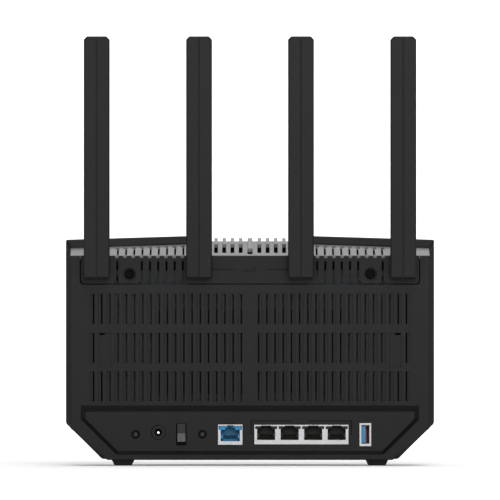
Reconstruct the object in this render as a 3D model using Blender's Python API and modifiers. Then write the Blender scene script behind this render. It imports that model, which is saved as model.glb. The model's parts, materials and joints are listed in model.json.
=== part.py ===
"""Upright wireless router with four paddle antennas, as separate sub-parts. Metres, +Z up.

The back, with the sockets, faces -Y, and +X is on the right seen from behind. The origin is under the middle
of the object, on the surface it stands on. Depths are counted forward (+Y) from the rear cover's flat face.
"""

import math

import bmesh
import bpy
from mathutils import Matrix, Vector

# Clearances
GAP = 0.0003
RUNNING_GAP = 0.0003
CUT_MARGIN = 0.002
LAP = 0.0002

# Body, seen from behind
REAR_HALF_WIDTH = 0.1186
SHELL_FLARE = 0.0036
FOOT_HEIGHT = 0.0038
CORNER_HEIGHT = 0.0238
REAR_CORNER_HEIGHT = 0.02095
SHELL_CORNER_WIDTH = 0.0242
REAR_CORNER_WIDTH = 0.0244
REAR_TOP = 0.1385
FOLD_X = 0.043
EDGE_BEVEL = 0.0005
SHELL_EDGE = 0.0010

# Body, front to back
PARTING_SIDE = 0.045
PARTING_FOLD = 0.066
TOP_SLOPE = 0.1156
RIM_RISE = 0.0057
RIM_RUN = 0.0054
FRONT_DEPTH = 0.010
FRONT_INSET = 0.0015
WALL = 0.0024

# Vents
VENT_COUNT = 19
VENT_PITCH = 0.00542
VENT_WIDTH = 0.0028
VENT_SLIT = 0.0008
SLIT_STEP = 0.0001
VENT_GROOVE_DEPTH = 0.0010
VENT_INNER_X = 0.0052
VENT_ROWS = ((0.0936, 0.1134), (0.0678, 0.0876), (0.0426, 0.0622))
POCKET_WIDTH = 0.0077
POCKET_BOTTOM = 0.0649
POCKET_SLOT = 0.0037
POCKET_SLOT_HEIGHT = 0.0013
POCKET_ROW = 1
POCKET_VENTS = (1, 2)

# Port recess
RECESS_DEPTH = 0.003
RECESS_TOP = 0.0398
RECESS_BOTTOM = 0.0071
RECESS_HALF_WIDTH = 0.1117
RECESS_CORNER_X = 0.0879
RECESS_CORNER_Z = 0.0306
RECESS_TOP_BEVEL = 0.0041
RECESS_SIDE_BEVEL = 0.0030
RECESS_BOTTOM_BEVEL = 0.0027
RECESS_WALL = 0.0024
RECESS_CEILING = 0.0025
RECESS_CORNER_SHIFT = (0.0004, 0.0005)

# Antenna bracket
BRACKET_HALF_WIDTH = 0.1117
BRACKET_HEIGHT = 0.0183
BRACKET_CORNER = 0.0025
BRACKET_GROOVE = 0.0006
BRACKET_SLIT_X = (0.0443, 0.0497, 0.0551, 0.0606, 0.0660, 0.0714, 0.0876)
BRACKET_SLIT_WIDTH = 0.0012
BRACKET_SLIT_FOOT_DROP = 0.0167
BRACKET_SLIT_TOP_DROP = 0.0035
BRACKET_NOTCH = 0.0013
BRACKET_FOOT_WIDTH = 0.0025
SCREW_WELL_X = 0.0795
SCREW_WELL_DROP = 0.0121
SCREW_WELL_R = 0.0042
SCREW_WELL_DEPTH = 0.0058
SCREW_WELL_FLOOR = 0.0012
SCREW_BOSS_WALL = 0.0014
SCREW_HEAD_R = 0.0031
SCREW_HEAD_HEIGHT = 0.0018
SCREW_SHANK_R = 0.0013
SCREW_LENGTH = 0.012
SCREW_CROWN = 0.8
SCREW_SLOT_ARM = 0.5
SCREW_SLOT_HALF_WIDTH = 0.13
MARK_LINE_X = (0.0110, 0.0250)
MARK_DROP = 0.0090
MARK_DEPTH = 0.0006
MARK_LINE_WIDTH = 0.0006
MARK_BAR_WIDTH = 0.0012
MARK_BAR_PITCH = 0.0022
MARK_BAR_HEIGHTS = (0.0012, 0.0021, 0.0030, 0.0039)
MARK_BAR_FOOT = 0.0018

# Top grille and spine
GRILLE_THICKNESS = 0.0022
GRILLE_SLOT = 0.0023
GRILLE_SLOT_STEM = 0.0012
GRILLE_SLOT_HEAD = 0.012
GRILLE_SLOTS = 10
GRILLE_SLOT_PITCH = 0.00541
GRILLE_SLOT_INNER_X = 0.0392
GRILLE_SLOT_MARGIN = 0.0022
GRILLE_SLOT_FRONT_MARGIN = 0.004
SPINE_SLOT_START = 0.0173
SPINE_MIDDLE_SLOT_START = 0.0104
SLOT_REACH = 0.019
SPINE_HALF_WIDTH = 0.0302
SPINE_FRONT = 0.0843
SPINE_THICKNESS = 0.0024
SPINE_BOTTOM = 0.0075
RIB_WIDTH = 0.0025
RIB_MIDDLE_WIDTH = 0.0033
RIB_DEPTH = 0.0032
RIB_STANDING = 0.0119
RIB_START = 0.0665
RIB_MIDDLE_START = 0.040
RIB_START_RISE = 0.0003
RIB_SHOULDER = 0.0045
RIB_SHOULDER_DROP = 0.0013
RIB_SIDE_GAP = 0.0001
RIB_START_GAP = 0.0002
RIB_LAP = 0.0008
RIB_FOOT = 0.001
RIB_FIRST_X = 0.0062
RIB_PITCH = 0.00544
RIBS_PER_SIDE = 4

# Front wing panels
WING_GAP = 0.0003
WING_THICKNESS = 0.0020
WING_MARGIN = 0.0035
WING_SPINE_MARGIN = 0.0012
WING_EDGE = 0.0006

# Antennas
ANTENNA_X = (-0.1011, -0.0336, 0.0336, 0.1011)
HUB_DROP = 0.0093
HUB_R = 0.0072
HUB_THICKNESS = 0.0024
STEM_R = 0.0040
STEM_CLEARANCE = 0.0003
BARB_LIP = 0.0012
BARB_THICKNESS = 0.0014
STEM_BORE_R = 0.0008
TONGUE_WIDTH = 0.0050
TONGUE_R = 0.0034
TRUNNION_R = 0.0018
TRUNNION_LENGTH = 0.0014
BLADE_WIDTH = 0.0171
BLADE_FOOT_DROP = 0.0053
BLADE_LENGTH = 0.1594
BLADE_THICKNESS = 0.0106
BLADE_WALL = 0.0013
BLADE_EDGE = 0.0012
BLADE_TIP_CHAMFER = 0.0022
BLADE_FOOT_CHAMFER = 0.0008
BLADE_GROOVE_WIDTH = 0.0008
BLADE_GROOVE_DEPTH = 0.0007
BLADE_REAR_SHARE = 0.0058
BLADE_CLEARANCE = 0.0005
BLADE_ROOM_MARGIN = 0.0035
TONGUE_CLEARANCE = 0.0006
FOOT_SWING = 0.0002
ELEMENT_THICKNESS = 0.0008
ELEMENT_WIDTH = 0.0100
ELEMENT_FOOT_MARGIN = 0.0261
ELEMENT_TIP_MARGIN = 0.0113

# Sockets: distances from the middle, heights above the table
WAN_MIDDLE = -0.01305
WAN_Z = (0.0138, 0.0272)
LAN_MIDDLE = 0.03395
LAN_Z = (0.0141, 0.0270)
LAN_COUNT = 4
JACK_OPENING = 0.0119
WAN_OPENING = 0.0126
JACK_SIDE = 0.00175
JACK_BETWEEN = 0.00363
JACK_LINING = 0.0015
WAN_LINING = 0.00125
JACK_OPENING_Z = (0.0170, 0.0242)
WAN_OPENING_Z = (0.0162, 0.0236)
JACK_KEY_WIDTHS = (0.0085, 0.0061)
WAN_KEY_WIDTHS = (0.0063, 0.0039)
JACK_KEY_HEIGHTS = (0.0010, 0.0009)
WAN_KEY_HEIGHTS = (0.0014, 0.0011)
JACK_BAND = 0.0013
JACK_TOP_BAR = 0.0009
JACK_BOARD_GAP = 0.0006
JACK_PROUD = 0.0003
JACK_SHEET = 0.0005
JACK_CAVITY_DEPTH = 0.0135
USB_X = (0.0723, 0.0800)
USB_Z = (0.0129, 0.0281)
USB_OPENING_X = (0.0736, 0.0788)
USB_OPENING_Z = (0.0145, 0.0268)
USB_DEPTH = 0.0175
USB_TONGUE_WIDTH = 0.0019
USB_TONGUE_END_GAP = 0.0006
USB_TONGUE_SUNK = 0.0008
USB_BACK_WALL = 0.001
DC_X = -0.0605
DC_Z = 0.0219
DC_R = 0.0045
DC_BORE_R = 0.0026
DC_PIN_R = 0.0008
DC_DEPTH = 0.0140
DC_PROUD = 0.0002
DC_BACK_WALL = 0.003
DC_PIN_SUNK = 0.0013
ROCKER_X = -0.0453
ROCKER_Z = 0.0207
ROCKER_OPENING = (0.0068, 0.0144)
ROCKER_WIDTH = 0.0054
ROCKER_HALF_LENGTH = 0.0061
ROCKER_PIVOT_DEPTH = 0.0035
ROCKER_BODY_DEPTH = 0.0040
ROCKER_FACE_ANGLE = 12.0
ROCKER_SHOULDER = 0.3
ROCKER_TAPER = 0.0006
ROCKER_KEEL = 0.55
SWITCH_BODY_WALL = 0.0012
SWITCH_BODY_DEPTH = 0.0105
SWITCH_BODY_BACK = 0.0015
BUTTON_X = {"wps_button": -0.0755, "reset_button": -0.0314}
BUTTON_Z = {"wps_button": 0.0206, "reset_button": 0.0207}
BUTTON_R = 0.00145
DIMPLE_R = 0.00285
DIMPLE_DEPTH = 0.0008
BUTTON_FLANGE_R = 0.0028
BUTTON_FLANGE = 0.0010
BUTTON_TRAVEL = 0.0008
BUTTON_SUNK = 0.0001
TACT_SIZE = 0.0062
TACT_DEPTH = 0.0035

# Board and what it carries
BOARD_DEPTH = 0.0245
BOARD_THICKNESS = 0.0016
BOARD_HALF_WIDTH = 0.095
BOARD_BOTTOM = 0.0095
BOARD_TOP = 0.129
BOARD_CORNER = 0.012
BOARD_HOLE_X = 0.088
BOARD_HOLE_Z = (0.036, 0.112)
BOARD_HOLE_R = 0.0017
BOARD_POST_GAP = 0.0006
POST_R = 0.0030
POST_BORE_R = 0.0010
POST_BORE_DEPTH = 0.008
BOARD_SCREW_HEAD_R = 0.0026
BOARD_SCREW_HEAD_HEIGHT = 0.0014
BOARD_SCREW_LENGTH = 0.006
SCREW_BORE_GAP = 0.0002
SINK_HALF_WIDTH = 0.062
SINK_Z = (0.048, 0.103)
SINK_BASE = 0.0030
SINK_FINS = 11
SINK_FIN = 0.0016
SINK_FIN_DEPTH = 0.0110
CAN_HEIGHT = 0.0030
CAN_SIZE = (0.040, 0.034)
CAN_X = 0.046
CAN_Z = 0.072
CAN_SHEET = 0.0004
COAX_R = 0.0007
COAX_EDGE_MARGIN = 0.008
COAX_SHIFT = 0.004
COAX_LANDING = 0.010
COAX_LIFT = 0.0012
COAX_WAY = (
    (0.0, 0.0, 0.0),
    (0.0, 0.2, 0.0),
    (0.2, 0.45, 0.08),
    (0.7, 0.72, 0.30),
    (1.0, 0.87, 0.60),
    (1.0, 1.0, 1.0),
)

# Feet and lights
FOOT_X = 0.0838
FOOT_TOP_HALF_WIDTH = 0.0074
FOOT_BASE_HALF_WIDTH = 0.0056
FOOT_LENGTH = 0.012
FOOT_DEPTHS = (0.013, 0.0455)
FOOT_SEAT = 0.0006
LIGHT_COUNT = 6
LIGHT_PITCH = 0.008
LIGHT_X = 0.058
LIGHT_Z = 0.017
LIGHT_R = 0.0011
LIGHT_BAR = 0.0024

# Worked out from the values above
SHELL_HALF_WIDTH = REAR_HALF_WIDTH + SHELL_FLARE
BRACKET_BOTTOM = REAR_TOP - BRACKET_HEIGHT
BRACKET_SLIT_LOW = REAR_TOP - BRACKET_SLIT_FOOT_DROP
BRACKET_SLIT_HIGH = REAR_TOP - BRACKET_SLIT_TOP_DROP
SCREW_WELL_Z = REAR_TOP - SCREW_WELL_DROP
MARK_LINE_Z = REAR_TOP - MARK_DROP
RIB_TOP = REAR_TOP + RIB_STANDING
HUB_Z = REAR_TOP - HUB_DROP
BARB_R = STEM_R + BARB_LIP
BLADE_BOTTOM = HUB_Z - BLADE_FOOT_DROP
BLADE_TOP = BLADE_BOTTOM + BLADE_LENGTH
ELEMENT_BOTTOM = BLADE_BOTTOM + ELEMENT_FOOT_MARGIN
ELEMENT_TOP = BLADE_TOP - ELEMENT_TIP_MARGIN
LAN_PITCH = JACK_OPENING + JACK_BETWEEN
LAN_PORTS = [LAN_MIDDLE + (i - (LAN_COUNT - 1) / 2) * LAN_PITCH for i in range(LAN_COUNT)]
LAN_X = (LAN_MIDDLE - LAN_COUNT * LAN_PITCH / 2, LAN_MIDDLE + LAN_COUNT * LAN_PITCH / 2)
WAN_X = (WAN_MIDDLE - WAN_OPENING / 2 - JACK_SIDE, WAN_MIDDLE + WAN_OPENING / 2 + JACK_SIDE)
JACK_BACK = BOARD_DEPTH - JACK_BOARD_GAP
WAN_JACK = {
    "x": WAN_X,
    "z": WAN_Z,
    "opening": WAN_OPENING,
    "opening_z": WAN_OPENING_Z,
    "key_widths": WAN_KEY_WIDTHS,
    "key_heights": WAN_KEY_HEIGHTS,
    "lining": WAN_LINING,
}
LAN_JACK = {
    "x": LAN_X,
    "z": LAN_Z,
    "opening": JACK_OPENING,
    "opening_z": JACK_OPENING_Z,
    "key_widths": JACK_KEY_WIDTHS,
    "key_heights": JACK_KEY_HEIGHTS,
    "lining": JACK_LINING,
}
ABOVE_ALL = REAR_TOP + 0.0611
BEYOND_PARTING = PARTING_FOLD + 0.034
HUB_BACK = GAP + HUB_THICKNESS
BLADE_FRONT = HUB_BACK + BLADE_CLEARANCE
BLADE_BACK = BLADE_FRONT + BLADE_THICKNESS
TILT_DEPTH = BLADE_FRONT + BLADE_THICKNESS / 2
RIB_FRONT = SPINE_FRONT + RIB_DEPTH
REAR_FACE_Y = (BLADE_BACK - RIB_FRONT) / 2
PANEL_DEPTH = RECESS_DEPTH + RECESS_WALL
VENT_OUTER_INDEX = VENT_COUNT - 1


# Scene and helpers

for old in list(bpy.data.objects):
    bpy.data.objects.remove(old, do_unlink=True)

PARTS = bpy.data.collections.new("wireless_router")
CUTTERS = bpy.data.collections.new("cutters")
bpy.context.scene.collection.children.link(PARTS)
bpy.context.scene.collection.children.link(CUTTERS)


def material(name, colour, roughness, metallic=0.0):
    made = bpy.data.materials.new(name)
    made.use_nodes = True
    shader = made.node_tree.nodes["Principled BSDF"]
    shader.inputs["Base Color"].default_value = (*colour, 1.0)
    shader.inputs["Roughness"].default_value = roughness
    shader.inputs["Metallic"].default_value = metallic
    return made


BLACK = material("black_shell", (0.028, 0.028, 0.029), 0.55)
DARK = material("dark_bracket", (0.026, 0.026, 0.027), 0.5)
ANTENNA_BLACK = material("antenna_plastic", (0.029, 0.030, 0.031), 0.5)
SILVER = material("silver_plastic", (0.55, 0.55, 0.56), 0.4)
STEEL = material("steel_shield", (0.55, 0.55, 0.56), 0.3, 1.0)
SOCKET_BLACK = material("socket_black", (0.015, 0.015, 0.016), 0.5)
SOCKET_BLUE = material("socket_blue", (0.02, 0.16, 0.36), 0.4)
ALUMINIUM = material("aluminium", (0.6, 0.6, 0.62), 0.4, 1.0)
BOARD_BLUE = material("board", (0.01, 0.03, 0.05), 0.5)
RUBBER = material("foot_rubber", (0.015, 0.015, 0.015), 0.8)
LIGHT_PLASTIC = material("light_guide", (0.7, 0.7, 0.7), 0.3)


def world(x, depth, z):
    """A point from its distance right of the middle, its depth in front of the rear face, and its height."""
    return Vector((x, REAR_FACE_Y + depth, z))


def put(name, mesh, look=None, origin=None):
    """A part, or with no look a hidden cutter, from a mesh in world coordinates, with its own origin."""
    if origin is not None:
        mesh.transform(Matrix.Translation(-origin))
    obj = bpy.data.objects.new(name, mesh)
    if origin is not None:
        obj.location = origin
    if look is None:
        CUTTERS.objects.link(obj)
        obj.hide_render = True
        obj.display_type = "WIRE"
    else:
        PARTS.objects.link(obj)
        mesh.materials.append(look)
    return obj


def mesh_from(bm, name):
    bmesh.ops.recalc_face_normals(bm, faces=bm.faces)
    mesh = bpy.data.meshes.new(name)
    bm.to_mesh(mesh)
    bm.free()
    return mesh


def add_box(bm, low, high):
    """A box between two (x, depth, z) corners."""
    a = world(*low)
    b = world(*high)
    place = Matrix.Translation((a + b) / 2) @ Matrix.Diagonal((*(b - a), 1.0))
    bmesh.ops.create_cube(bm, size=1.0, matrix=place)


def boxes(name, corners):
    """One mesh of several boxes that don't meet."""
    bm = bmesh.new()
    for low, high in corners:
        add_box(bm, low, high)
    return mesh_from(bm, name)


def add_rod(bm, start, end, radius, end_radius=None, segments=24):
    """A cylinder or cone between two (x, depth, z) points."""
    a = world(*start)
    b = world(*end)
    turn = (b - a).to_track_quat("Z", "Y").to_matrix().to_4x4()
    bmesh.ops.create_cone(
        bm,
        cap_ends=True,
        segments=segments,
        radius1=radius,
        radius2=radius if end_radius is None else end_radius,
        depth=(b - a).length,
        matrix=Matrix.Translation((a + b) / 2) @ turn,
    )


def rods(name, ends, segments=24):
    """One mesh of several cylinders that don't meet, each (start, end, radius)."""
    bm = bmesh.new()
    for start, end, radius in ends:
        add_rod(bm, start, end, radius, segments=segments)
    return mesh_from(bm, name)


def true_corners(points):
    """The outline without the points that repeat or lie on a straight run."""
    kept = []
    for i, point in enumerate(points):
        before = Vector(point) - Vector(points[i - 1])
        after = Vector(points[(i + 1) % len(points)]) - Vector(point)
        if abs(before.x * after.y - before.y * after.x) > 1e-10:
            kept.append(point)
    return kept


def outline_mesh(name, points, thickness):
    """A closed flat outline as a 2D curve, filled and extruded both ways, turned into a mesh."""
    points = true_corners(points)
    curve = bpy.data.curves.new(name, "CURVE")
    curve.dimensions = "2D"
    curve.fill_mode = "BOTH"
    curve.extrude = thickness / 2
    spline = curve.splines.new("POLY")
    spline.points.add(len(points) - 1)
    for point, (across, up) in zip(spline.points, points):
        point.co = (across, up, 0.0, 1.0)
    spline.use_cyclic_u = True
    holder = bpy.data.objects.new(name, curve)
    CUTTERS.objects.link(holder)
    graph = bpy.context.evaluated_depsgraph_get()
    mesh = bpy.data.meshes.new_from_object(holder.evaluated_get(graph))
    bpy.data.objects.remove(holder, do_unlink=True)
    bm = bmesh.new()
    bm.from_mesh(mesh)
    bmesh.ops.remove_doubles(bm, verts=bm.verts, dist=1e-6)
    return mesh_from(bm, name)


def upright_plate(name, points, near, far):
    """An (x, z) outline, from depth near to depth far."""
    mesh = outline_mesh(name, points, far - near)
    mesh.transform(Matrix.Translation(world(0, (near + far) / 2, 0)) @ Matrix.Rotation(math.pi / 2, 4, "X"))
    return mesh


def side_plate(name, points, left, right):
    """A (depth, z) outline, from x left to x right."""
    mesh = outline_mesh(name, points, right - left)
    turn = Matrix(((0, 0, 1, 0), (1, 0, 0, 0), (0, 1, 0, 0), (0, 0, 0, 1)))
    mesh.transform(Matrix.Translation(world((left + right) / 2, 0, 0)) @ turn)
    return mesh


def level_plate(name, points, low, high):
    """An (x, depth) outline, from height low to height high."""
    mesh = outline_mesh(name, points, high - low)
    mesh.transform(Matrix.Translation(world(0, 0, (low + high) / 2)))
    return mesh


def boolean(obj, tool, operation):
    step = obj.modifiers.new(tool.name, "BOOLEAN")
    step.operation = operation
    step.solver = "EXACT"
    step.object = tool


def cut(obj, name, mesh):
    boolean(obj, put(name, mesh), "DIFFERENCE")


def join(obj, name, mesh):
    boolean(obj, put(name, mesh), "UNION")


def soften(obj, width, segments=1):
    step = obj.modifiers.new("edge_bevel", "BEVEL")
    step.width = width
    step.segments = segments
    step.limit_method = "ANGLE"
    step.angle_limit = math.radians(30)


def inset(points, distance):
    """A convex outline, given anticlockwise, moved in by a distance."""
    moved = []
    for i, point in enumerate(points):
        before = Vector(point) - Vector(points[i - 1])
        after = Vector(points[(i + 1) % len(points)]) - Vector(point)
        first = Vector((-before.y, before.x)).normalized()
        second = Vector((-after.y, after.x)).normalized()
        shift = (first + second) * (distance / (1 + first.dot(second)))
        moved.append((point[0] + shift.x, point[1] + shift.y))
    return moved


def rounded(corners, radius, steps=4):
    """An outline whose listed corners, each (x, z, is_round), are rounded where asked."""
    points = []
    count = len(corners)
    for i, (x, z, is_round) in enumerate(corners):
        corner = Vector((x, z))
        if not is_round:
            points.append((x, z))
            continue
        to_last = (Vector(corners[i - 1][:2]) - corner).normalized()
        to_next = (Vector(corners[(i + 1) % count][:2]) - corner).normalized()
        centre = corner + (to_last + to_next) * radius
        for step in range(steps + 1):
            turn = math.pi / 2 * step / steps
            point = centre - to_next * radius * math.cos(turn) - to_last * radius * math.sin(turn)
            points.append((point.x, point.y))
    return points


# Body outlines: ten corners anticlockwise from the bottom, with one at each fold of the front


def parting(x):
    """Depth where the rear cover and the front shell meet, which folds at FOLD_X."""
    share = max(0.0, (abs(x) - FOLD_X) / (REAR_HALF_WIDTH - FOLD_X))
    return PARTING_FOLD + (PARTING_SIDE - PARTING_FOLD) * share


def roof(depth):
    """Height of the sloping top at a depth."""
    return REAR_TOP + TOP_SLOPE * depth


def body_outline(half_width, corner_width, corner_height, side_top, fold_top):
    right = [
        (FOLD_X, FOOT_HEIGHT),
        (half_width - corner_width, FOOT_HEIGHT),
        (half_width, FOOT_HEIGHT + corner_height),
        (half_width, side_top),
        (FOLD_X, fold_top),
    ]
    return right + [(-x, z) for x, z in reversed(right)]


def rear_outline(side_top, fold_top):
    return body_outline(REAR_HALF_WIDTH, REAR_CORNER_WIDTH, REAR_CORNER_HEIGHT, side_top, fold_top)


def shell_outline(side_top, fold_top):
    return body_outline(SHELL_HALF_WIDTH, SHELL_CORNER_WIDTH, CORNER_HEIGHT, side_top, fold_top)


def loft(name, rings):
    """A closed solid through rings of ten (x, depth, z) points, its two ends folded at FOLD_X."""
    bm = bmesh.new()
    made = [[bm.verts.new(world(*point)) for point in ring] for ring in rings]
    for near, far in zip(made, made[1:]):
        for i in range(10):
            j = (i + 1) % 10
            bm.faces.new((near[i], near[j], far[j], far[i]))
    for ring in (made[0], made[-1]):
        for corners in ((0, 1, 2, 3, 4), (9, 0, 4, 5), (5, 6, 7, 8, 9)):
            bm.faces.new([ring[i] for i in corners])
    return mesh_from(bm, name)


def at_depth(outline, depth_of):
    return [(x, depth_of(x), z) for x, z in outline]


RIM_SIDE_Z = roof(PARTING_SIDE)
RIM_FOLD_Z = roof(PARTING_FOLD)


def rim_back(x):
    return parting(x) + GAP


def rim_peak(x):
    return parting(x) + RIM_RUN


def front_face(x):
    return parting(x) + RIM_RUN + FRONT_DEPTH


# Rear cover


def vent_corners():
    """Each vent's (row low, row high, outer x, inner x), leaving out those that the pockets replace."""
    for row, (low, high) in enumerate(VENT_ROWS):
        for i in range(VENT_COUNT):
            from_outside = VENT_OUTER_INDEX - i
            if row == POCKET_ROW and from_outside in POCKET_VENTS:
                continue
            inner = VENT_INNER_X + i * VENT_PITCH
            yield low, high, inner + VENT_WIDTH, inner


def mirror_box(low, high):
    """A box's mirror image across the middle."""
    return (-high[0], low[1], low[2]), (-low[0], high[1], high[2])


def both_sides(low, high):
    """A box and its mirror image across the middle."""
    yield low, high
    yield mirror_box(low, high)


def vent_cutters():
    grooves = []
    slits = []
    reach = WALL + CUT_MARGIN
    for low, high, outer, inner in vent_corners():
        grooves += both_sides((inner, -CUT_MARGIN, low), (outer, VENT_GROOVE_DEPTH, high))
        slit_low = (inner + SLIT_STEP, VENT_GROOVE_DEPTH - LAP, low + SLIT_STEP)
        slits += both_sides(slit_low, (inner + SLIT_STEP + VENT_SLIT, reach, high - SLIT_STEP))
    row_low, row_high = VENT_ROWS[POCKET_ROW]
    inner = VENT_INNER_X + (VENT_OUTER_INDEX - max(POCKET_VENTS)) * VENT_PITCH
    outer = inner + POCKET_WIDTH
    grooves += both_sides((inner, -CUT_MARGIN, POCKET_BOTTOM), (outer, VENT_GROOVE_DEPTH, row_high))
    slot_low = row_high - POCKET_SLOT_HEIGHT
    slits += both_sides(
        (outer - POCKET_SLOT, VENT_GROOVE_DEPTH - LAP, slot_low),
        (outer - SLIT_STEP, reach, row_high - SLIT_STEP),
    )
    return boxes("vent_grooves", grooves), boxes("vent_slits", slits)


def recess_ring(top, bottom, half_width, corner_x, corner_z, depth):
    """The port recess's outline at a depth: six corners, with the lower two cut across."""
    right = [(corner_x, bottom), (half_width, corner_z), (half_width, top)]
    outline = right + [(-x, z) for x, z in reversed(right)]
    return [world(x, depth, z) for x, z in outline]


def recess_cutter():
    """A loft from the wide mouth to the narrower floor, so that its four walls slope."""
    mouth = (RECESS_TOP, RECESS_BOTTOM, RECESS_HALF_WIDTH, RECESS_CORNER_X, RECESS_CORNER_Z)
    floor = (
        RECESS_TOP - RECESS_TOP_BEVEL,
        RECESS_BOTTOM + RECESS_BOTTOM_BEVEL,
        RECESS_HALF_WIDTH - RECESS_SIDE_BEVEL,
        RECESS_CORNER_X - RECESS_CORNER_SHIFT[0],
        RECESS_CORNER_Z + RECESS_CORNER_SHIFT[1],
    )
    bm = bmesh.new()
    rings = [recess_ring(*mouth, -CUT_MARGIN), recess_ring(*mouth, 0.0), recess_ring(*floor, RECESS_DEPTH)]
    made = [[bm.verts.new(point) for point in ring] for ring in rings]
    for near, far in zip(made, made[1:]):
        for i in range(6):
            j = (i + 1) % 6
            bm.faces.new((near[i], near[j], far[j], far[i]))
    bm.faces.new(made[0])
    bm.faces.new(made[-1])
    return mesh_from(bm, "port_recess")


def bracket_opening(spare):
    """The bracket's outline, grown by spare, up through the open top."""
    wide = BRACKET_HALF_WIDTH + spare
    low = BRACKET_BOTTOM - spare
    corners = [(-wide, low, True), (wide, low, True), (wide, ABOVE_ALL, False), (-wide, ABOVE_ALL, False)]
    return rounded(corners, BRACKET_CORNER)


def make_rear_cover():
    near = at_depth(rear_outline(REAR_TOP, REAR_TOP), lambda x: 0.0)
    far = at_depth(rear_outline(RIM_SIDE_Z, RIM_FOLD_Z), parting)
    cover = put("rear_cover", loft("rear_cover", [near, far]), BLACK)
    soften(cover, EDGE_BEVEL)
    hollow = inset(rear_outline(ABOVE_ALL, ABOVE_ALL), WALL)
    cut(cover, "rear_hollow", upright_plate("rear_hollow", hollow, PANEL_DEPTH, BEYOND_PARTING))
    side = REAR_HALF_WIDTH - WALL
    low = RECESS_TOP + RECESS_CEILING
    upper = [(-side, low), (side, low), (side, ABOVE_ALL), (-side, ABOVE_ALL)]
    cut(cover, "upper_hollow", upright_plate("upper_hollow", upper, WALL, PANEL_DEPTH + CUT_MARGIN))
    sunk = GRILLE_THICKNESS + GAP
    near = WALL - SLIT_STEP
    seat = [
        (near, roof(WALL) - sunk),
        (BEYOND_PARTING, roof(BEYOND_PARTING) - sunk),
        (BEYOND_PARTING, ABOVE_ALL),
        (near, ABOVE_ALL),
    ]
    wide = SHELL_HALF_WIDTH + CUT_MARGIN
    cut(cover, "grille_seat", side_plate("grille_seat", seat, -wide, wide))
    seat = bracket_opening(BRACKET_GROOVE)
    opening = upright_plate("bracket_opening", seat, -CUT_MARGIN, WALL + CUT_MARGIN)
    cut(cover, "bracket_opening", opening)
    grooves, slits = vent_cutters()
    cut(cover, "vent_grooves", grooves)
    cut(cover, "vent_slits", slits)
    cut(cover, "port_recess", recess_cutter())
    cut(cover, "socket_windows", socket_windows())
    cut(cover, "inlet_window", inlet_window())
    cut(cover, "foot_seats", foot_blocks("foot_seats", GAP))
    roots = [RECESS_DEPTH + LAP if z < RECESS_TOP else WALL - LAP for z in BOARD_HOLE_Z]
    posts = rods("board_posts", [
        ((x, root, z), (x, BOARD_DEPTH - GAP, z), POST_R)
        for x in (-BOARD_HOLE_X, BOARD_HOLE_X) for z, root in zip(BOARD_HOLE_Z, roots)
    ], 16)
    join(cover, "board_posts", posts)
    bores = rods("board_post_bores", [
        ((x, BOARD_DEPTH - POST_BORE_DEPTH, z), (x, BOARD_DEPTH + CUT_MARGIN, z), POST_BORE_R)
        for x in (-BOARD_HOLE_X, BOARD_HOLE_X) for z in BOARD_HOLE_Z
    ], 12)
    cut(cover, "board_post_bores", bores)


def socket_windows():
    """Square holes through the recess floor, each its socket and a gap."""
    sizes = [(WAN_X, WAN_Z), (LAN_X, LAN_Z), (USB_X, USB_Z)]
    half_width, half_height = (size / 2 for size in ROCKER_OPENING)
    rocker_x = (ROCKER_X - half_width + GAP, ROCKER_X + half_width - GAP)
    rocker_z = (ROCKER_Z - half_height + GAP, ROCKER_Z + half_height - GAP)
    sizes.append((rocker_x, rocker_z))
    near = RECESS_DEPTH - CUT_MARGIN
    far = PANEL_DEPTH + CUT_MARGIN
    return boxes("socket_windows", [
        ((x[0] - GAP, near, z[0] - GAP), (x[1] + GAP, far, z[1] + GAP)) for x, z in sizes
    ])


def inlet_window():
    """The DC inlet's hole."""
    start = RECESS_DEPTH - CUT_MARGIN
    end = PANEL_DEPTH + CUT_MARGIN
    return rods("inlet_window", [((DC_X, start, DC_Z), (DC_X, end, DC_Z), DC_R + GAP)])


def make_dimples(cover):
    """Each button's dimple, and the hole through its floor."""
    dimples = []
    holes = []
    for name, x in BUTTON_X.items():
        z = BUTTON_Z[name]
        floor = RECESS_DEPTH + DIMPLE_DEPTH
        dimples.append(((x, RECESS_DEPTH - CUT_MARGIN, z), (x, floor, z), DIMPLE_R))
        holes.append(((x, floor - LAP, z), (x, PANEL_DEPTH + CUT_MARGIN, z), BUTTON_R + RUNNING_GAP))
    cut(cover, "button_dimples", rods("button_dimples", dimples))
    cut(cover, "button_holes", rods("button_holes", holes))


def foot_blocks(name, spare):
    """Where the feet enter the bottom, grown by spare."""
    half = FOOT_TOP_HALF_WIDTH + spare
    corners = []
    for x in (-FOOT_X, FOOT_X):
        for depth in FOOT_DEPTHS:
            low = (x - half, depth - FOOT_LENGTH / 2 - spare, FOOT_HEIGHT - CUT_MARGIN)
            high = (x + half, depth + FOOT_LENGTH / 2 + spare, FOOT_HEIGHT + FOOT_SEAT + spare)
            corners.append((low, high))
    return boxes(name, corners)


# Front shell, wing panels, light guide


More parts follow.
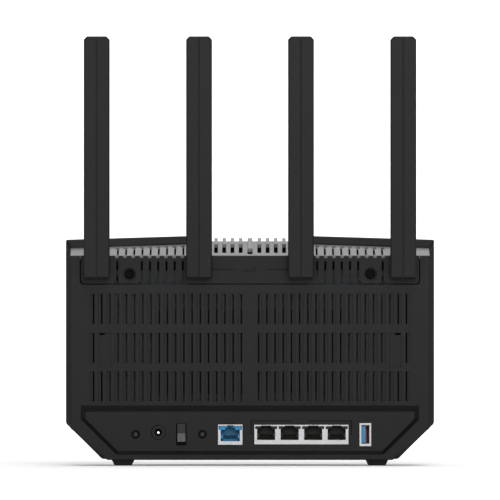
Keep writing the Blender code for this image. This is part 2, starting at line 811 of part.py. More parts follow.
def make_front_shell():
    peak = shell_outline(RIM_SIDE_Z + RIM_RISE, RIM_FOLD_Z + RIM_RISE)
    rim = [
        at_depth(rear_outline(RIM_SIDE_Z, RIM_FOLD_Z), rim_back),
        at_depth(peak, rim_peak),
        at_depth(inset(peak, FRONT_INSET), front_face),
    ]
    shell = put("front_shell", loft("front_shell", rim), BLACK)
    soften(shell, SHELL_EDGE, 2)
    hollow = [
        at_depth(inset(rear_outline(RIM_SIDE_Z, RIM_FOLD_Z), WALL), lambda x: parting(x) - CUT_MARGIN),
        at_depth(inset(rear_outline(RIM_SIDE_Z, RIM_FOLD_Z), WALL), rim_peak),
        at_depth(inset(rear_outline(RIM_SIDE_Z, RIM_FOLD_Z), WALL), lambda x: front_face(x) - WALL),
    ]
    cut(shell, "front_hollow", loft("front_hollow", hollow))
    sunk = GRILLE_THICKNESS + GAP
    near = PARTING_FOLD - CUT_MARGIN
    far = BEYOND_PARTING
    spine_way = [(near, roof(near) - sunk), (far, roof(far) - sunk), (far, ABOVE_ALL), (near, ABOVE_ALL)]
    half = SPINE_HALF_WIDTH + GAP
    cut(shell, "spine_way", side_plate("spine_way", spine_way, -half, half))
    cut(shell, "light_windows", light_rods("light_windows", LIGHT_R + GAP, -WALL - CUT_MARGIN, CUT_MARGIN))
    posts = rods("screw_posts", [
        ((x, SCREW_WELL_DEPTH + GAP, SCREW_WELL_Z), (x, front_face(x) - WALL / 2, SCREW_WELL_Z), POST_R)
        for x in (-SCREW_WELL_X, SCREW_WELL_X)
    ], 16)
    join(shell, "screw_posts", posts)
    bores = rods("screw_post_bores", [
        ((x, 0.0, SCREW_WELL_Z), (x, SCREW_WELL_DEPTH + SCREW_LENGTH, SCREW_WELL_Z), SCREW_SHANK_R + GAP)
        for x in (-SCREW_WELL_X, SCREW_WELL_X)
    ], 12)
    cut(shell, "screw_post_bores", bores)


def wing_outline(sign):
    """A wing panel's (x, z) outline, inside the front face of its side, anticlockwise."""
    margin = FRONT_INSET + WING_MARGIN
    inner = SPINE_HALF_WIDTH + WING_SPINE_MARGIN
    outer = SHELL_HALF_WIDTH - margin
    low = FOOT_HEIGHT + margin
    side_top = RIM_SIDE_Z + RIM_RISE - margin
    fold_top = RIM_FOLD_Z + RIM_RISE - margin
    points = [
        (inner, low),
        (FOLD_X, low),
        (outer - SHELL_CORNER_WIDTH + margin * 0.41, low),
        (outer, low + CORNER_HEIGHT - margin * 0.41),
        (outer, side_top),
        (FOLD_X, fold_top),
        (inner, fold_top),
    ]
    return points if sign > 0 else [(-x, z) for x, z in reversed(points)]


def make_wing_panel(name, sign):
    """A plate that follows the folded front at an even distance from it."""
    outline = wing_outline(sign)
    bm = bmesh.new()
    rings = []
    for distance in (WING_GAP, WING_GAP + WING_THICKNESS):
        rings.append([bm.verts.new(world(x, front_face(x) + distance, z)) for x, z in outline])
    for i in range(7):
        j = (i + 1) % 7
        bm.faces.new((rings[0][i], rings[0][j], rings[1][j], rings[1][i]))
    flat, wing = ((0, 1, 5, 6), (1, 2, 3, 4, 5)) if sign > 0 else ((6, 5, 1, 0), (5, 4, 3, 2, 1))
    for ring in rings:
        for corners in (flat, wing):
            order = corners if sign > 0 else mirrored_order(corners)
            bm.faces.new([ring[i] for i in order])
    panel = put(name, mesh_from(bm, name), BLACK)
    soften(panel, WING_EDGE)
    if sign < 0:
        ahead = WING_GAP + WING_THICKNESS + CUT_MARGIN
        windows = light_rods("panel_light_windows", LIGHT_R + GAP, -CUT_MARGIN, ahead)
        cut(panel, "panel_light_windows", windows)


def mirrored_order(corners):
    """The same corners in a ring whose points run the other way round."""
    return [6 - i for i in corners]


def light_rods(name, radius, back, ahead):
    """One rod for each status light, through the left wing, along the depth."""
    ends = []
    for i in range(LIGHT_COUNT):
        x = -LIGHT_X - i * LIGHT_PITCH
        face = front_face(x)
        ends.append(((x, face + back, LIGHT_Z), (x, face + ahead, LIGHT_Z), radius))
    return rods(name, ends, 16)


def make_light_guide():
    """A bar behind the front wall, which follows the wing's slant, with a peg for each light."""
    ends = (-LIGHT_X + LIGHT_PITCH / 2, -LIGHT_X - (LIGHT_COUNT - 0.5) * LIGHT_PITCH)
    behind = -WALL - GAP
    outline = [
        (ends[1], front_face(ends[1]) + behind - LIGHT_BAR),
        (ends[0], front_face(ends[0]) + behind - LIGHT_BAR),
        (ends[0], front_face(ends[0]) + behind),
        (ends[1], front_face(ends[1]) + behind),
    ]
    low = LIGHT_Z - LIGHT_R - GAP
    high = LIGHT_Z + LIGHT_R + GAP
    guide = put("status_light_guide", level_plate("status_light_guide", outline, low, high), LIGHT_PLASTIC)
    ahead = WING_GAP + WING_THICKNESS
    join(guide, "light_pegs", light_rods("light_pegs", LIGHT_R, behind - LIGHT_BAR / 2, ahead))


# Top grille, spine


def slope_up(mesh):
    """Shears a level plate up along the roof, which rises with depth."""
    shear = Matrix.Identity(4)
    shear[2][1] = TOP_SLOPE
    shear[2][3] = -TOP_SLOPE * REAR_FACE_Y
    mesh.transform(shear)
    return mesh


def make_top_grille(name, sign):
    near = WALL + GAP
    inner = SPINE_HALF_WIDTH + GAP
    outer = REAR_HALF_WIDTH
    outline = [
        (inner, near),
        (outer, near),
        (outer, parting(outer) - GAP),
        (FOLD_X, parting(FOLD_X) - GAP),
        (inner, parting(inner) - GAP),
    ]
    stems = []
    heads = []
    for i in range(GRILLE_SLOTS):
        low_x = GRILLE_SLOT_INNER_X + i * GRILLE_SLOT_PITCH - GRILLE_SLOT / 2
        high_x = low_x + GRILLE_SLOT
        far = parting(high_x) - GRILLE_SLOT_FRONT_MARGIN
        low = (low_x, near + GRILLE_SLOT_MARGIN, REAR_TOP - SLOT_REACH)
        stems.append((low, (low_x + GRILLE_SLOT_STEM, far - LAP, REAR_TOP + SLOT_REACH)))
        low = (low_x - SLIT_STEP, far - GRILLE_SLOT_HEAD, REAR_TOP - SLOT_REACH)
        heads.append((low, (high_x, far, REAR_TOP + SLOT_REACH)))
    if sign < 0:
        outline = [(-x, depth) for x, depth in reversed(outline)]
        stems = [mirror_box(low, high) for low, high in stems]
        heads = [mirror_box(low, high) for low, high in heads]
    plate = slope_up(level_plate(name, outline, REAR_TOP - GRILLE_THICKNESS, REAR_TOP))
    grille = put(name, plate, SILVER)
    cut(grille, name + "_slot_stems", boxes(name + "_slot_stems", stems))
    cut(grille, name + "_slot_heads", boxes(name + "_slot_heads", heads))


def rib_places():
    """(x, width, slot start, slot end) of every rib and its slot, the middle one wider and shorter."""
    yield 0.0, RIB_MIDDLE_WIDTH, SPINE_MIDDLE_SLOT_START, RIB_MIDDLE_START
    for i in range(RIBS_PER_SIDE + 1):
        for sign in (-1, 1):
            yield sign * (RIB_FIRST_X + i * RIB_PITCH), RIB_WIDTH, SPINE_SLOT_START, RIB_START


def rib_mesh(x, width, start):
    """A rib that leaves the roof at its start, rises to a shoulder, and runs down the front."""
    back = SPINE_FRONT - RIB_LAP
    profile = [
        (start, roof(start) - RIB_LAP),
        (back, roof(back) - RIB_LAP),
        (back, SPINE_BOTTOM + RIB_FOOT),
        (RIB_FRONT, SPINE_BOTTOM + RIB_FOOT),
        (RIB_FRONT, RIB_TOP - RIB_SHOULDER_DROP),
        (RIB_FRONT - RIB_SHOULDER_DROP, RIB_TOP),
        (RIB_FRONT - RIB_SHOULDER, RIB_TOP),
        (start, roof(start) + RIB_START_RISE),
    ]
    half = width / 2 - RIB_SIDE_GAP
    return side_plate("rib", profile, x - half, x + half)


def make_spine():
    near = WALL + GAP
    bend = SPINE_FRONT - SPINE_THICKNESS
    profile = [
        (near, roof(near) - GRILLE_THICKNESS),
        (bend, roof(bend) - GRILLE_THICKNESS),
        (bend, SPINE_BOTTOM),
        (SPINE_FRONT, SPINE_BOTTOM),
        (SPINE_FRONT, roof(SPINE_FRONT)),
        (near, roof(near)),
    ]
    mesh = side_plate("front_spine", profile, -SPINE_HALF_WIDTH, SPINE_HALF_WIDTH)
    spine = put("front_spine", mesh, SILVER)
    slots = []
    for x, width, start, end in rib_places():
        low = (x - width / 2, start, REAR_TOP - SLOT_REACH)
        slots.append((low, (x + width / 2, end, REAR_TOP + SLOT_REACH)))
    cut(spine, "spine_slots", boxes("spine_slots", slots))
    for number, (x, width, start, end) in enumerate(rib_places()):
        join(spine, f"spine_rib_{number}", rib_mesh(x, width, end + RIB_START_GAP))


# Antenna bracket and its screws


def make_bracket():
    wide = BRACKET_HALF_WIDTH
    corners = [
        (-wide, BRACKET_BOTTOM, True),
        (wide, BRACKET_BOTTOM, True),
        (wide, REAR_TOP, False),
        (-wide, REAR_TOP, False),
    ]
    outline = rounded(corners, BRACKET_CORNER)
    bracket = put("antenna_bracket", upright_plate("antenna_bracket", outline, 0.0, WALL), DARK)
    wells = [(x, SCREW_WELL_Z) for x in (-SCREW_WELL_X, SCREW_WELL_X)]
    boss_r = SCREW_WELL_R + SCREW_BOSS_WALL
    bosses = [((x, WALL / 2, z), (x, SCREW_WELL_DEPTH, z), boss_r) for x, z in wells]
    join(bracket, "screw_bosses", rods("screw_bosses", bosses))
    cut(bracket, "bracket_slits", boxes("bracket_slits", bracket_slits()))
    cut(bracket, "bracket_feet", boxes("bracket_feet", bracket_feet()))
    cut(bracket, "bracket_notches", boxes("bracket_notches", bracket_notches()))
    cut(bracket, "bracket_mark", boxes("bracket_mark", bracket_mark()))
    floor = SCREW_WELL_DEPTH - SCREW_WELL_FLOOR
    sinks = [((x, -CUT_MARGIN, z), (x, floor, z), SCREW_WELL_R) for x, z in wells]
    cut(bracket, "screw_wells", rods("screw_wells", sinks))
    end = SCREW_WELL_DEPTH + CUT_MARGIN
    holes = [((x, floor - LAP, z), (x, end, z), SCREW_SHANK_R + GAP) for x, z in wells]
    cut(bracket, "screw_holes", rods("screw_holes", holes, 16))
    bore_r = STEM_R + STEM_CLEARANCE
    bores = [((x, -CUT_MARGIN, HUB_Z), (x, WALL + CUT_MARGIN, HUB_Z), bore_r) for x in ANTENNA_X]
    cut(bracket, "hub_bores", rods("hub_bores", bores))


def bracket_slits():
    half = BRACKET_SLIT_WIDTH / 2
    found = []
    for x in BRACKET_SLIT_X:
        low = (x - half, -CUT_MARGIN, BRACKET_SLIT_LOW)
        found += both_sides(low, (x + half, WALL + CUT_MARGIN, BRACKET_SLIT_HIGH))
    return found


def bracket_feet():
    """The wider foot of each slit, open at the plate's lower edge."""
    found = []
    for x in BRACKET_SLIT_X:
        low = (x - BRACKET_SLIT_WIDTH / 2, -CUT_MARGIN, BRACKET_BOTTOM - CUT_MARGIN)
        found += both_sides(low, (low[0] + BRACKET_FOOT_WIDTH, WALL + CUT_MARGIN, BRACKET_SLIT_LOW + LAP))
    return found


def bracket_notches():
    """A notch in the upper edge at each slot of the grille."""
    found = []
    for i in range(GRILLE_SLOTS):
        x = GRILLE_SLOT_INNER_X + i * GRILLE_SLOT_PITCH
        low = (x - GRILLE_SLOT / 2, -CUT_MARGIN, REAR_TOP - BRACKET_NOTCH)
        found += both_sides(low, (x + GRILLE_SLOT / 2, WALL + CUT_MARGIN, REAR_TOP + CUT_MARGIN))
    return found


def bracket_mark():
    """Two engraved lines, and between them four bars of rising height."""
    found = []
    for sign in (-1, 1):
        ends = sorted(sign * x for x in MARK_LINE_X)
        low = (ends[0], -CUT_MARGIN, MARK_LINE_Z - MARK_LINE_WIDTH / 2)
        found.append((low, (ends[1], MARK_DEPTH, MARK_LINE_Z + MARK_LINE_WIDTH / 2)))
    for i, height in enumerate(MARK_BAR_HEIGHTS):
        x = (i - (len(MARK_BAR_HEIGHTS) - 1) / 2) * MARK_BAR_PITCH
        foot = MARK_LINE_Z - MARK_BAR_FOOT
        low = (x - MARK_BAR_WIDTH / 2, -CUT_MARGIN, foot)
        found.append((low, (x + MARK_BAR_WIDTH / 2, MARK_DEPTH, foot + height)))
    return found


def make_screw(name, x, head_depth, z, head_r, head_height, shank_r, length, look):
    """A pan-head screw that enters along the depth, with a cross recess."""
    bm = bmesh.new()
    direction = 1 if length > 0 else -1
    under = head_depth + direction * head_height
    add_rod(bm, (x, head_depth, z), (x, under, z), head_r * SCREW_CROWN, head_r, 20)
    screw = put(name, mesh_from(bm, name), look)
    shank = [((x, under - direction * LAP, z), (x, under + length, z), shank_r)]
    join(screw, name + "_shank", rods(name + "_shank", shank, 12))
    arm = head_r * SCREW_SLOT_ARM
    slim = head_r * SCREW_SLOT_HALF_WIDTH
    floor = head_depth + direction * head_height / 2
    depths = sorted((head_depth - direction * CUT_MARGIN, floor))
    first = [((x - arm, depths[0], z - slim), (x + arm, depths[1], z + slim))]
    second = [((x - slim, depths[0], z - arm), (x + slim, depths[1], z + arm))]
    cut(screw, name + "_slot_across", boxes(name + "_slot_across", first))
    cut(screw, name + "_slot_up", boxes(name + "_slot_up", second))


# Antennas


def hub_origin(x):
    return world(x, 0.0, HUB_Z)


def tilt_origin(x):
    return world(x, -TILT_DEPTH, HUB_Z)


def make_hub(number, x):
    """A disc behind the bracket, a barbed stem through it, and a tongue with trunnions for the blade."""
    name = f"antenna_{number}_hub"
    bm = bmesh.new()
    add_rod(bm, (x, -HUB_BACK, HUB_Z), (x, -GAP, HUB_Z), HUB_R)
    hub = put(name, mesh_from(bm, name), ANTENNA_BLACK, hub_origin(x))
    stem_end = WALL + GAP + BARB_THICKNESS
    stem = [((x, -GAP - LAP, HUB_Z), (x, stem_end - LAP, HUB_Z), STEM_R)]
    join(hub, name + "_stem", rods(name + "_stem", stem))
    barb = [((x, WALL + GAP, HUB_Z), (x, stem_end, HUB_Z), BARB_R)]
    join(hub, name + "_barb", rods(name + "_barb", barb))
    join(hub, name + "_tongue", tongue_mesh(name + "_tongue", x))
    reach = TONGUE_WIDTH / 2 + TRUNNION_LENGTH
    trunnions = [((x - reach, -TILT_DEPTH, HUB_Z), (x + reach, -TILT_DEPTH, HUB_Z), TRUNNION_R)]
    join(hub, name + "_trunnions", rods(name + "_trunnions", trunnions, 16))
    bore = [((x, -GAP - LAP, HUB_Z), (x, stem_end + CUT_MARGIN, HUB_Z), STEM_BORE_R)]
    cut(hub, name + "_cable_bore", rods(name + "_cable_bore", bore, 12))


def tongue_mesh(name, x):
    """A plate from the disc to a round end about the tilt axis."""
    steps = 10
    root = -HUB_BACK + LAP
    points = [(root, HUB_Z - TONGUE_R), (root, HUB_Z + TONGUE_R)]
    for step in range(steps + 1):
        turn = math.pi / 2 + math.pi * step / steps
        across = -TILT_DEPTH + TONGUE_R * math.cos(turn)
        points.append((across, HUB_Z + TONGUE_R * math.sin(turn)))
    points.reverse()
    return side_plate(name, points, x - TONGUE_WIDTH / 2, x + TONGUE_WIDTH / 2)


def blade_outline(shrink):
    """The blade seen from behind: chamfered tip, small chamfers at the foot, anticlockwise."""
    half = BLADE_WIDTH / 2
    tip = BLADE_TIP_CHAMFER
    foot = BLADE_FOOT_CHAMFER
    right = [
        (half - foot, BLADE_BOTTOM),
        (half, BLADE_BOTTOM + foot),
        (half, BLADE_TOP - tip),
        (half - tip, BLADE_TOP),
    ]
    outline = right + [(-x, z) for x, z in reversed(right)]
    return inset(outline, shrink) if shrink else outline


def shifted(outline, x):
    return [(x + across, up) for across, up in outline]


def foot_round_off(name, x):
    """What the swing of the tilt clears from the blade's foot, outside a cylinder about its axis."""
    reach = BLADE_THICKNESS / 2 + FOOT_SWING
    steps = 10
    arc = []
    for step in range(steps + 1):
        turn = -math.pi / 2 + math.pi / 2 * step / steps
        arc.append((-TILT_DEPTH + reach * math.cos(turn), HUB_Z + reach * math.sin(turn)))
    beyond = -TILT_DEPTH + reach + CUT_MARGIN
    below = HUB_Z - reach - CUT_MARGIN
    outline = [(-TILT_DEPTH, below), (beyond, below), (beyond, HUB_Z)] + list(reversed(arc))
    half = BLADE_WIDTH / 2 + CUT_MARGIN
    return side_plate(name, outline, x - half, x + half)


def tongue_way(name, x):
    """The slot in the blade that the tongue turns in, open to the front and the foot."""
    half = TONGUE_WIDTH / 2 + RUNNING_GAP
    reach = TONGUE_R + TONGUE_CLEARANCE
    back = -TILT_DEPTH - reach
    low = (x - half, back, BLADE_BOTTOM - CUT_MARGIN)
    return boxes(name, [(low, (x + half, -BLADE_FRONT + CUT_MARGIN, HUB_Z + reach))])


def trunnion_way(name, x):
    reach = TONGUE_WIDTH / 2 + TRUNNION_LENGTH + RUNNING_GAP
    ends = [((x - reach, -TILT_DEPTH, HUB_Z), (x + reach, -TILT_DEPTH, HUB_Z), TRUNNION_R + RUNNING_GAP)]
    return rods(name, ends, 16)


def make_blade(number, x):
    """Two half shells that part in a plane along the blade, with the radiating element between them."""
    rear_name = f"antenna_{number}_rear_shell"
    front_name = f"antenna_{number}_front_shell"
    split = -BLADE_BACK + BLADE_REAR_SHARE
    outline = shifted(blade_outline(0), x)
    room = shifted(blade_outline(BLADE_WALL), x)
    room_low = HUB_Z + TONGUE_R + BLADE_ROOM_MARGIN
    room = [(across, max(up, room_low)) for across, up in room]
    pivot = tilt_origin(x)

    rear = put(rear_name, upright_plate(rear_name, outline, -BLADE_BACK, split), ANTENNA_BLACK, pivot)
    bevel_long_edges(rear, -1)
    floor = -BLADE_BACK + BLADE_WALL
    cut(rear, rear_name + "_room", upright_plate("room", room, floor, split + CUT_MARGIN))
    groove = BLADE_GROOVE_WIDTH / 2
    groove_low = (x - groove, -BLADE_BACK - CUT_MARGIN, BLADE_BOTTOM - CUT_MARGIN)
    groove_high = (x + groove, -BLADE_BACK + BLADE_GROOVE_DEPTH, BLADE_TOP - BLADE_TIP_CHAMFER)
    cut(rear, rear_name + "_groove", boxes("groove", [(groove_low, groove_high)]))

    near = split + GAP
    front = put(front_name, upright_plate(front_name, outline, near, -BLADE_FRONT), ANTENNA_BLACK, pivot)
    bevel_long_edges(front, 1)
    room_end = -BLADE_FRONT - BLADE_WALL
    cut(front, front_name + "_room", upright_plate("room", room, near - CUT_MARGIN, room_end))
    cut(front, front_name + "_foot", foot_round_off(front_name + "_foot", x))
    for shell, name in ((rear, rear_name), (front, front_name)):
        cut(shell, name + "_tongue_way", tongue_way(name + "_tongue_way", x))
        cut(shell, name + "_trunnion_way", trunnion_way(name + "_trunnion_way", x))

    half = ELEMENT_WIDTH / 2
    middle = -TILT_DEPTH
    low = (x - half, middle - ELEMENT_THICKNESS / 2, ELEMENT_BOTTOM)
    high = (x + half, middle + ELEMENT_THICKNESS / 2, ELEMENT_TOP)
    put(f"antenna_{number}_element", boxes("element", [(low, high)]), BOARD_BLUE, pivot)


def bevel_long_edges(obj, side):
    """Bevels the rim of the face that looks back (side -1) or forward (side 1)."""
    bm = bmesh.new()
    bm.from_mesh(obj.data)
    outer = min(v.co.y * -side for v in bm.verts)
    rim = [
        edge for edge in bm.edges
        if all(abs(v.co.y * -side - outer) < 1e-6 for v in edge.verts)
        and any(abs(face.normal.y) < 0.5 for face in edge.link_faces)
    ]
    bmesh.ops.bevel(bm, geom=rim, offset=BLADE_EDGE, segments=1, affect="EDGES", clamp_overlap=True)
    bm.to_mesh(obj.data)
    bm.free()


# Sockets and controls

JACK_FRONT = RECESS_DEPTH - JACK_PROUD


def jack_outline(x, size, steps):
    """A symmetrical stepped outline: its lower corners, then (half width, height) steps."""
    half, low = size
    right = [(half, low)]
    height = None
    for wide, up in steps:
        if height is not None:
            right.append((wide, height))
        right.append((wide, up))
        height = up
    return shifted(right + [(-across, up) for across, up in reversed(right)], x)


def plug_way(x, jack):
    """The keyed outline that a plug enters, latch side up."""
    half = jack["opening"] / 2
    low, shoulder = jack["opening_z"]
    first = shoulder + jack["key_heights"][0]
    second = first + jack["key_heights"][1]
    wide, narrow = (width / 2 for width in jack["key_widths"])
    return jack_outline(x, (half, low), ((half, shoulder), (wide, first), (narrow, second)))


def steel_window(x, jack):
    """The hole in the sheet: the opening, a wider band above it, and a notch through the upper edge."""
    half = jack["opening"] / 2
    low, shoulder = jack["opening_z"]
    top = jack["z"][1]
    notch = jack["key_widths"][1] / 2
    steps = ((half, shoulder), (half + JACK_BAND, top - JACK_TOP_BAR), (notch, top + CUT_MARGIN))
    return jack_outline(x, (half, low), steps)


def make_jack(shell_name, jack, ports, insert_names, insert_look):
    """A sheet-steel shell round its inserts, each insert a block with a keyed cavity."""
    low_x, high_x = jack["x"]
    low_z, high_z = jack["z"]
    outer = boxes(shell_name, [((low_x, JACK_FRONT, low_z), (high_x, JACK_BACK, high_z))])
    shell = put(shell_name, outer, STEEL)
    rooms = []
    for x in ports:
        half = jack["opening"] / 2 + jack["lining"]
        low = (x - half, JACK_FRONT + JACK_SHEET, low_z + JACK_SHEET)
        rooms.append((low, (x + half, JACK_BACK + CUT_MARGIN, high_z - JACK_SHEET)))
    cut(shell, shell_name + "_rooms", boxes(shell_name + "_rooms", rooms))
    for i, (x, name) in enumerate(zip(ports, insert_names)):
        hole = steel_window(x, jack)
        window = upright_plate("window", hole, JACK_FRONT - CUT_MARGIN, JACK_FRONT + JACK_SHEET + LAP)
        cut(shell, f"{shell_name}_window_{i}", window)
        low, high = rooms[i]
        block_low = (low[0] + GAP, low[1] + GAP, low[2] + GAP)
        block_high = (high[0] - GAP, JACK_BACK - GAP, high[2] - GAP)
        insert = put(name, boxes(name, [(block_low, block_high)]), insert_look)
        floor = JACK_FRONT + JACK_CAVITY_DEPTH
        cavity = upright_plate("cavity", plug_way(x, jack), JACK_FRONT - CUT_MARGIN, floor)
        cut(insert, name + "_cavity", cavity)


def make_usb():
    back = JACK_FRONT + USB_DEPTH
    low = (USB_X[0], JACK_FRONT, USB_Z[0])
    shell = put("usb_shell", boxes("usb_shell", [(low, (USB_X[1], back, USB_Z[1]))]), STEEL)
    room_low = (USB_OPENING_X[0], JACK_FRONT - CUT_MARGIN, USB_OPENING_Z[0])
    floor = back - USB_BACK_WALL
    room_high = (USB_OPENING_X[1], floor, USB_OPENING_Z[1])
    cut(shell, "usb_room", boxes("usb_room", [(room_low, room_high)]))
    side = USB_OPENING_X[0] + GAP
    tongue_low = (side, JACK_FRONT + USB_TONGUE_SUNK, USB_OPENING_Z[0] + USB_TONGUE_END_GAP)
    tongue_high = (side + USB_TONGUE_WIDTH, floor - GAP, USB_OPENING_Z[1] - USB_TONGUE_END_GAP)
    put("usb_tongue", boxes("usb_tongue", [(tongue_low, tongue_high)]), SOCKET_BLUE)


def make_dc_inlet():
    back = RECESS_DEPTH + DC_DEPTH
    start = RECESS_DEPTH - DC_PROUD
    barrel = rods("dc_inlet_body", [((DC_X, start, DC_Z), (DC_X, back, DC_Z), DC_R)])
    body = put("dc_inlet_body", barrel, SOCKET_BLACK)
    floor = back - DC_BACK_WALL
    bore = [((DC_X, start - CUT_MARGIN, DC_Z), (DC_X, floor, DC_Z), DC_BORE_R)]
    cut(body, "dc_bore", rods("dc_bore", bore))
    through = [((DC_X, floor - LAP, DC_Z), (DC_X, back + CUT_MARGIN, DC_Z), DC_PIN_R + GAP)]
    cut(body, "dc_pin_hole", rods("dc_pin_hole", through, 16))
    pin = [((DC_X, RECESS_DEPTH + DC_PIN_SUNK, DC_Z), (DC_X, back, DC_Z), DC_PIN_R)]
    put("dc_inlet_pin", rods("dc_inlet_pin", pin, 16), STEEL)


def rocker_origin():
    return world(ROCKER_X, RECESS_DEPTH + ROCKER_PIVOT_DEPTH, ROCKER_Z)


def rocker_outline():
    """The rocker's (depth, z) side about its pivot, tipped so that its lower end stands out."""
    rise = ROCKER_HALF_LENGTH * math.tan(math.radians(ROCKER_FACE_ANGLE))
    face = -ROCKER_PIVOT_DEPTH
    half = ROCKER_HALF_LENGTH
    level = [
        (face - rise, half),
        (face, 0.0),
        (face - rise, -half),
        (face * ROCKER_SHOULDER, -half + ROCKER_TAPER),
        (ROCKER_BODY_DEPTH, -half * ROCKER_KEEL),
        (ROCKER_BODY_DEPTH, half * ROCKER_KEEL),
        (face * ROCKER_SHOULDER, half - ROCKER_TAPER),
    ]
    turn = math.radians(-ROCKER_FACE_ANGLE)
    pivot = RECESS_DEPTH + ROCKER_PIVOT_DEPTH
    points = []
    for depth, up in level:
        across = depth * math.cos(turn) - up * math.sin(turn)
        height = depth * math.sin(turn) + up * math.cos(turn)
        points.append((pivot + across, ROCKER_Z + height))
    return points


def make_power_switch():
    half = ROCKER_WIDTH / 2
    mesh = side_plate("power_rocker", rocker_outline(), ROCKER_X - half, ROCKER_X + half)
    put("power_rocker", mesh, SOCKET_BLACK, rocker_origin())
    near = PANEL_DEPTH + GAP
    back = near + SWITCH_BODY_DEPTH
    wide, tall = (size / 2 for size in ROCKER_OPENING)
    low = (ROCKER_X - wide - SWITCH_BODY_WALL, near, ROCKER_Z - tall - SWITCH_BODY_WALL)
    high = (ROCKER_X + wide + SWITCH_BODY_WALL, back, ROCKER_Z + tall + SWITCH_BODY_WALL)
    body = put("power_switch_body", boxes("power_switch_body", [(low, high)]), SOCKET_BLACK)
    room_low = (ROCKER_X - wide, near - CUT_MARGIN, ROCKER_Z - tall)
    room_high = (ROCKER_X + wide, back - SWITCH_BODY_BACK, ROCKER_Z + tall)
    cut(body, "switch_room", boxes("switch_room", [(room_low, room_high)]))


def make_button(name):
    """A round button whose flange rests behind the wall, and the tact switch that it presses."""
    x = BUTTON_X[name]
    z = BUTTON_Z[name]
    front = RECESS_DEPTH + BUTTON_SUNK
    flange = PANEL_DEPTH + GAP
    origin = world(x, front, z)
    stem = rods(name, [((x, front, z), (x, flange + LAP, z), BUTTON_R)])
    button = put(name, stem, SOCKET_BLACK, origin)
    ring = [((x, flange, z), (x, flange + BUTTON_FLANGE, z), BUTTON_FLANGE_R)]
    join(button, name + "_flange", rods(name + "_flange", ring))
    near = flange + BUTTON_FLANGE + BUTTON_TRAVEL + GAP
    half = TACT_SIZE / 2
    switch_name = name.replace("_button", "_tact_switch")
    low = (x - half, near, z - half)
    put(switch_name, boxes(switch_name, [(low, (x + half, near + TACT_DEPTH, z + half))]), SOCKET_BLACK)


# Board, heat sink, cans, leads


def make_board():
    wide = BOARD_HALF_WIDTH
    right = [(wide - BOARD_CORNER, BOARD_BOTTOM), (wide, BOARD_BOTTOM + BOARD_CORNER), (wide, BOARD_TOP)]
    outline = right + [(-x, z) for x, z in reversed(right)]
    far = BOARD_DEPTH + BOARD_THICKNESS
    board = put("main_board", upright_plate("main_board", outline, BOARD_DEPTH, far), BOARD_BLUE)
    holes = [
        ((x, BOARD_DEPTH - CUT_MARGIN, z), (x, far + CUT_MARGIN, z), BOARD_HOLE_R)
        for x in (-BOARD_HOLE_X, BOARD_HOLE_X) for z in BOARD_HOLE_Z
    ]
    near = BOARD_DEPTH - CUT_MARGIN
    wide = POST_R + BOARD_POST_GAP
    holes += [
        ((x, near, SCREW_WELL_Z), (x, far + CUT_MARGIN, SCREW_WELL_Z), wide) for x in (-SCREW_WELL_X, SCREW_WELL_X)
    ]
    cut(board, "board_holes", rods("board_holes", holes, 16))
    number = 0
    for x in (-BOARD_HOLE_X, BOARD_HOLE_X):
        for z in BOARD_HOLE_Z:
            number += 1
            make_screw(
                f"board_screw_{number}", x, far + GAP + BOARD_SCREW_HEAD_HEIGHT, z, BOARD_SCREW_HEAD_R,
                BOARD_SCREW_HEAD_HEIGHT, POST_BORE_R - SCREW_BORE_GAP, -BOARD_SCREW_LENGTH, STEEL,
            )


def make_heat_sink():
    back = BOARD_DEPTH - GAP
    base = back - SINK_BASE
    low = (-SINK_HALF_WIDTH, base, SINK_Z[0])
    sink = put("heat_sink", boxes("heat_sink", [(low, (SINK_HALF_WIDTH, back, SINK_Z[1]))]), ALUMINIUM)
    pitch = (2 * SINK_HALF_WIDTH - SINK_FIN) / (SINK_FINS - 1)
    fins = []
    for i in range(SINK_FINS):
        x = -SINK_HALF_WIDTH + i * pitch
        fins.append(((x, base - SINK_FIN_DEPTH, SINK_Z[0]), (x + SINK_FIN, base + LAP, SINK_Z[1])))
    join(sink, "sink_fins", boxes("sink_fins", fins))


def make_shield_can(name, x):
    near = BOARD_DEPTH + BOARD_THICKNESS + GAP
    wide, tall = (size / 2 for size in CAN_SIZE)
    low = (x - wide, near, CAN_Z - tall)
    can = put(name, boxes(name, [(low, (x + wide, near + CAN_HEIGHT, CAN_Z + tall))]), STEEL)
    room_low = (x - wide + CAN_SHEET, near - CUT_MARGIN, CAN_Z - tall + CAN_SHEET)
    room_high = (x + wide - CAN_SHEET, near + CAN_HEIGHT - CAN_SHEET, CAN_Z + tall - CAN_SHEET)
    cut(can, name + "_room", boxes(name + "_room", [(room_low, room_high)]))


def smooth_route(points, steps):
    """Points along a Catmull-Rom curve through the route's own points."""
    padded = [points[0]] + points + [points[-1]]
    found = []
    for i in range(1, len(padded) - 2):
        a, b, c, d = (Vector(p) for p in padded[i - 1:i + 3])
        for step in range(steps):
            t = step / steps
            found.append(0.5 * (2 * b + (c - a) * t + (2 * a - 5 * b + 4 * c - d) * t**2
                                + (3 * b - a - 3 * c + d) * t**3))
    found.append(Vector(points[-1]))
    return found


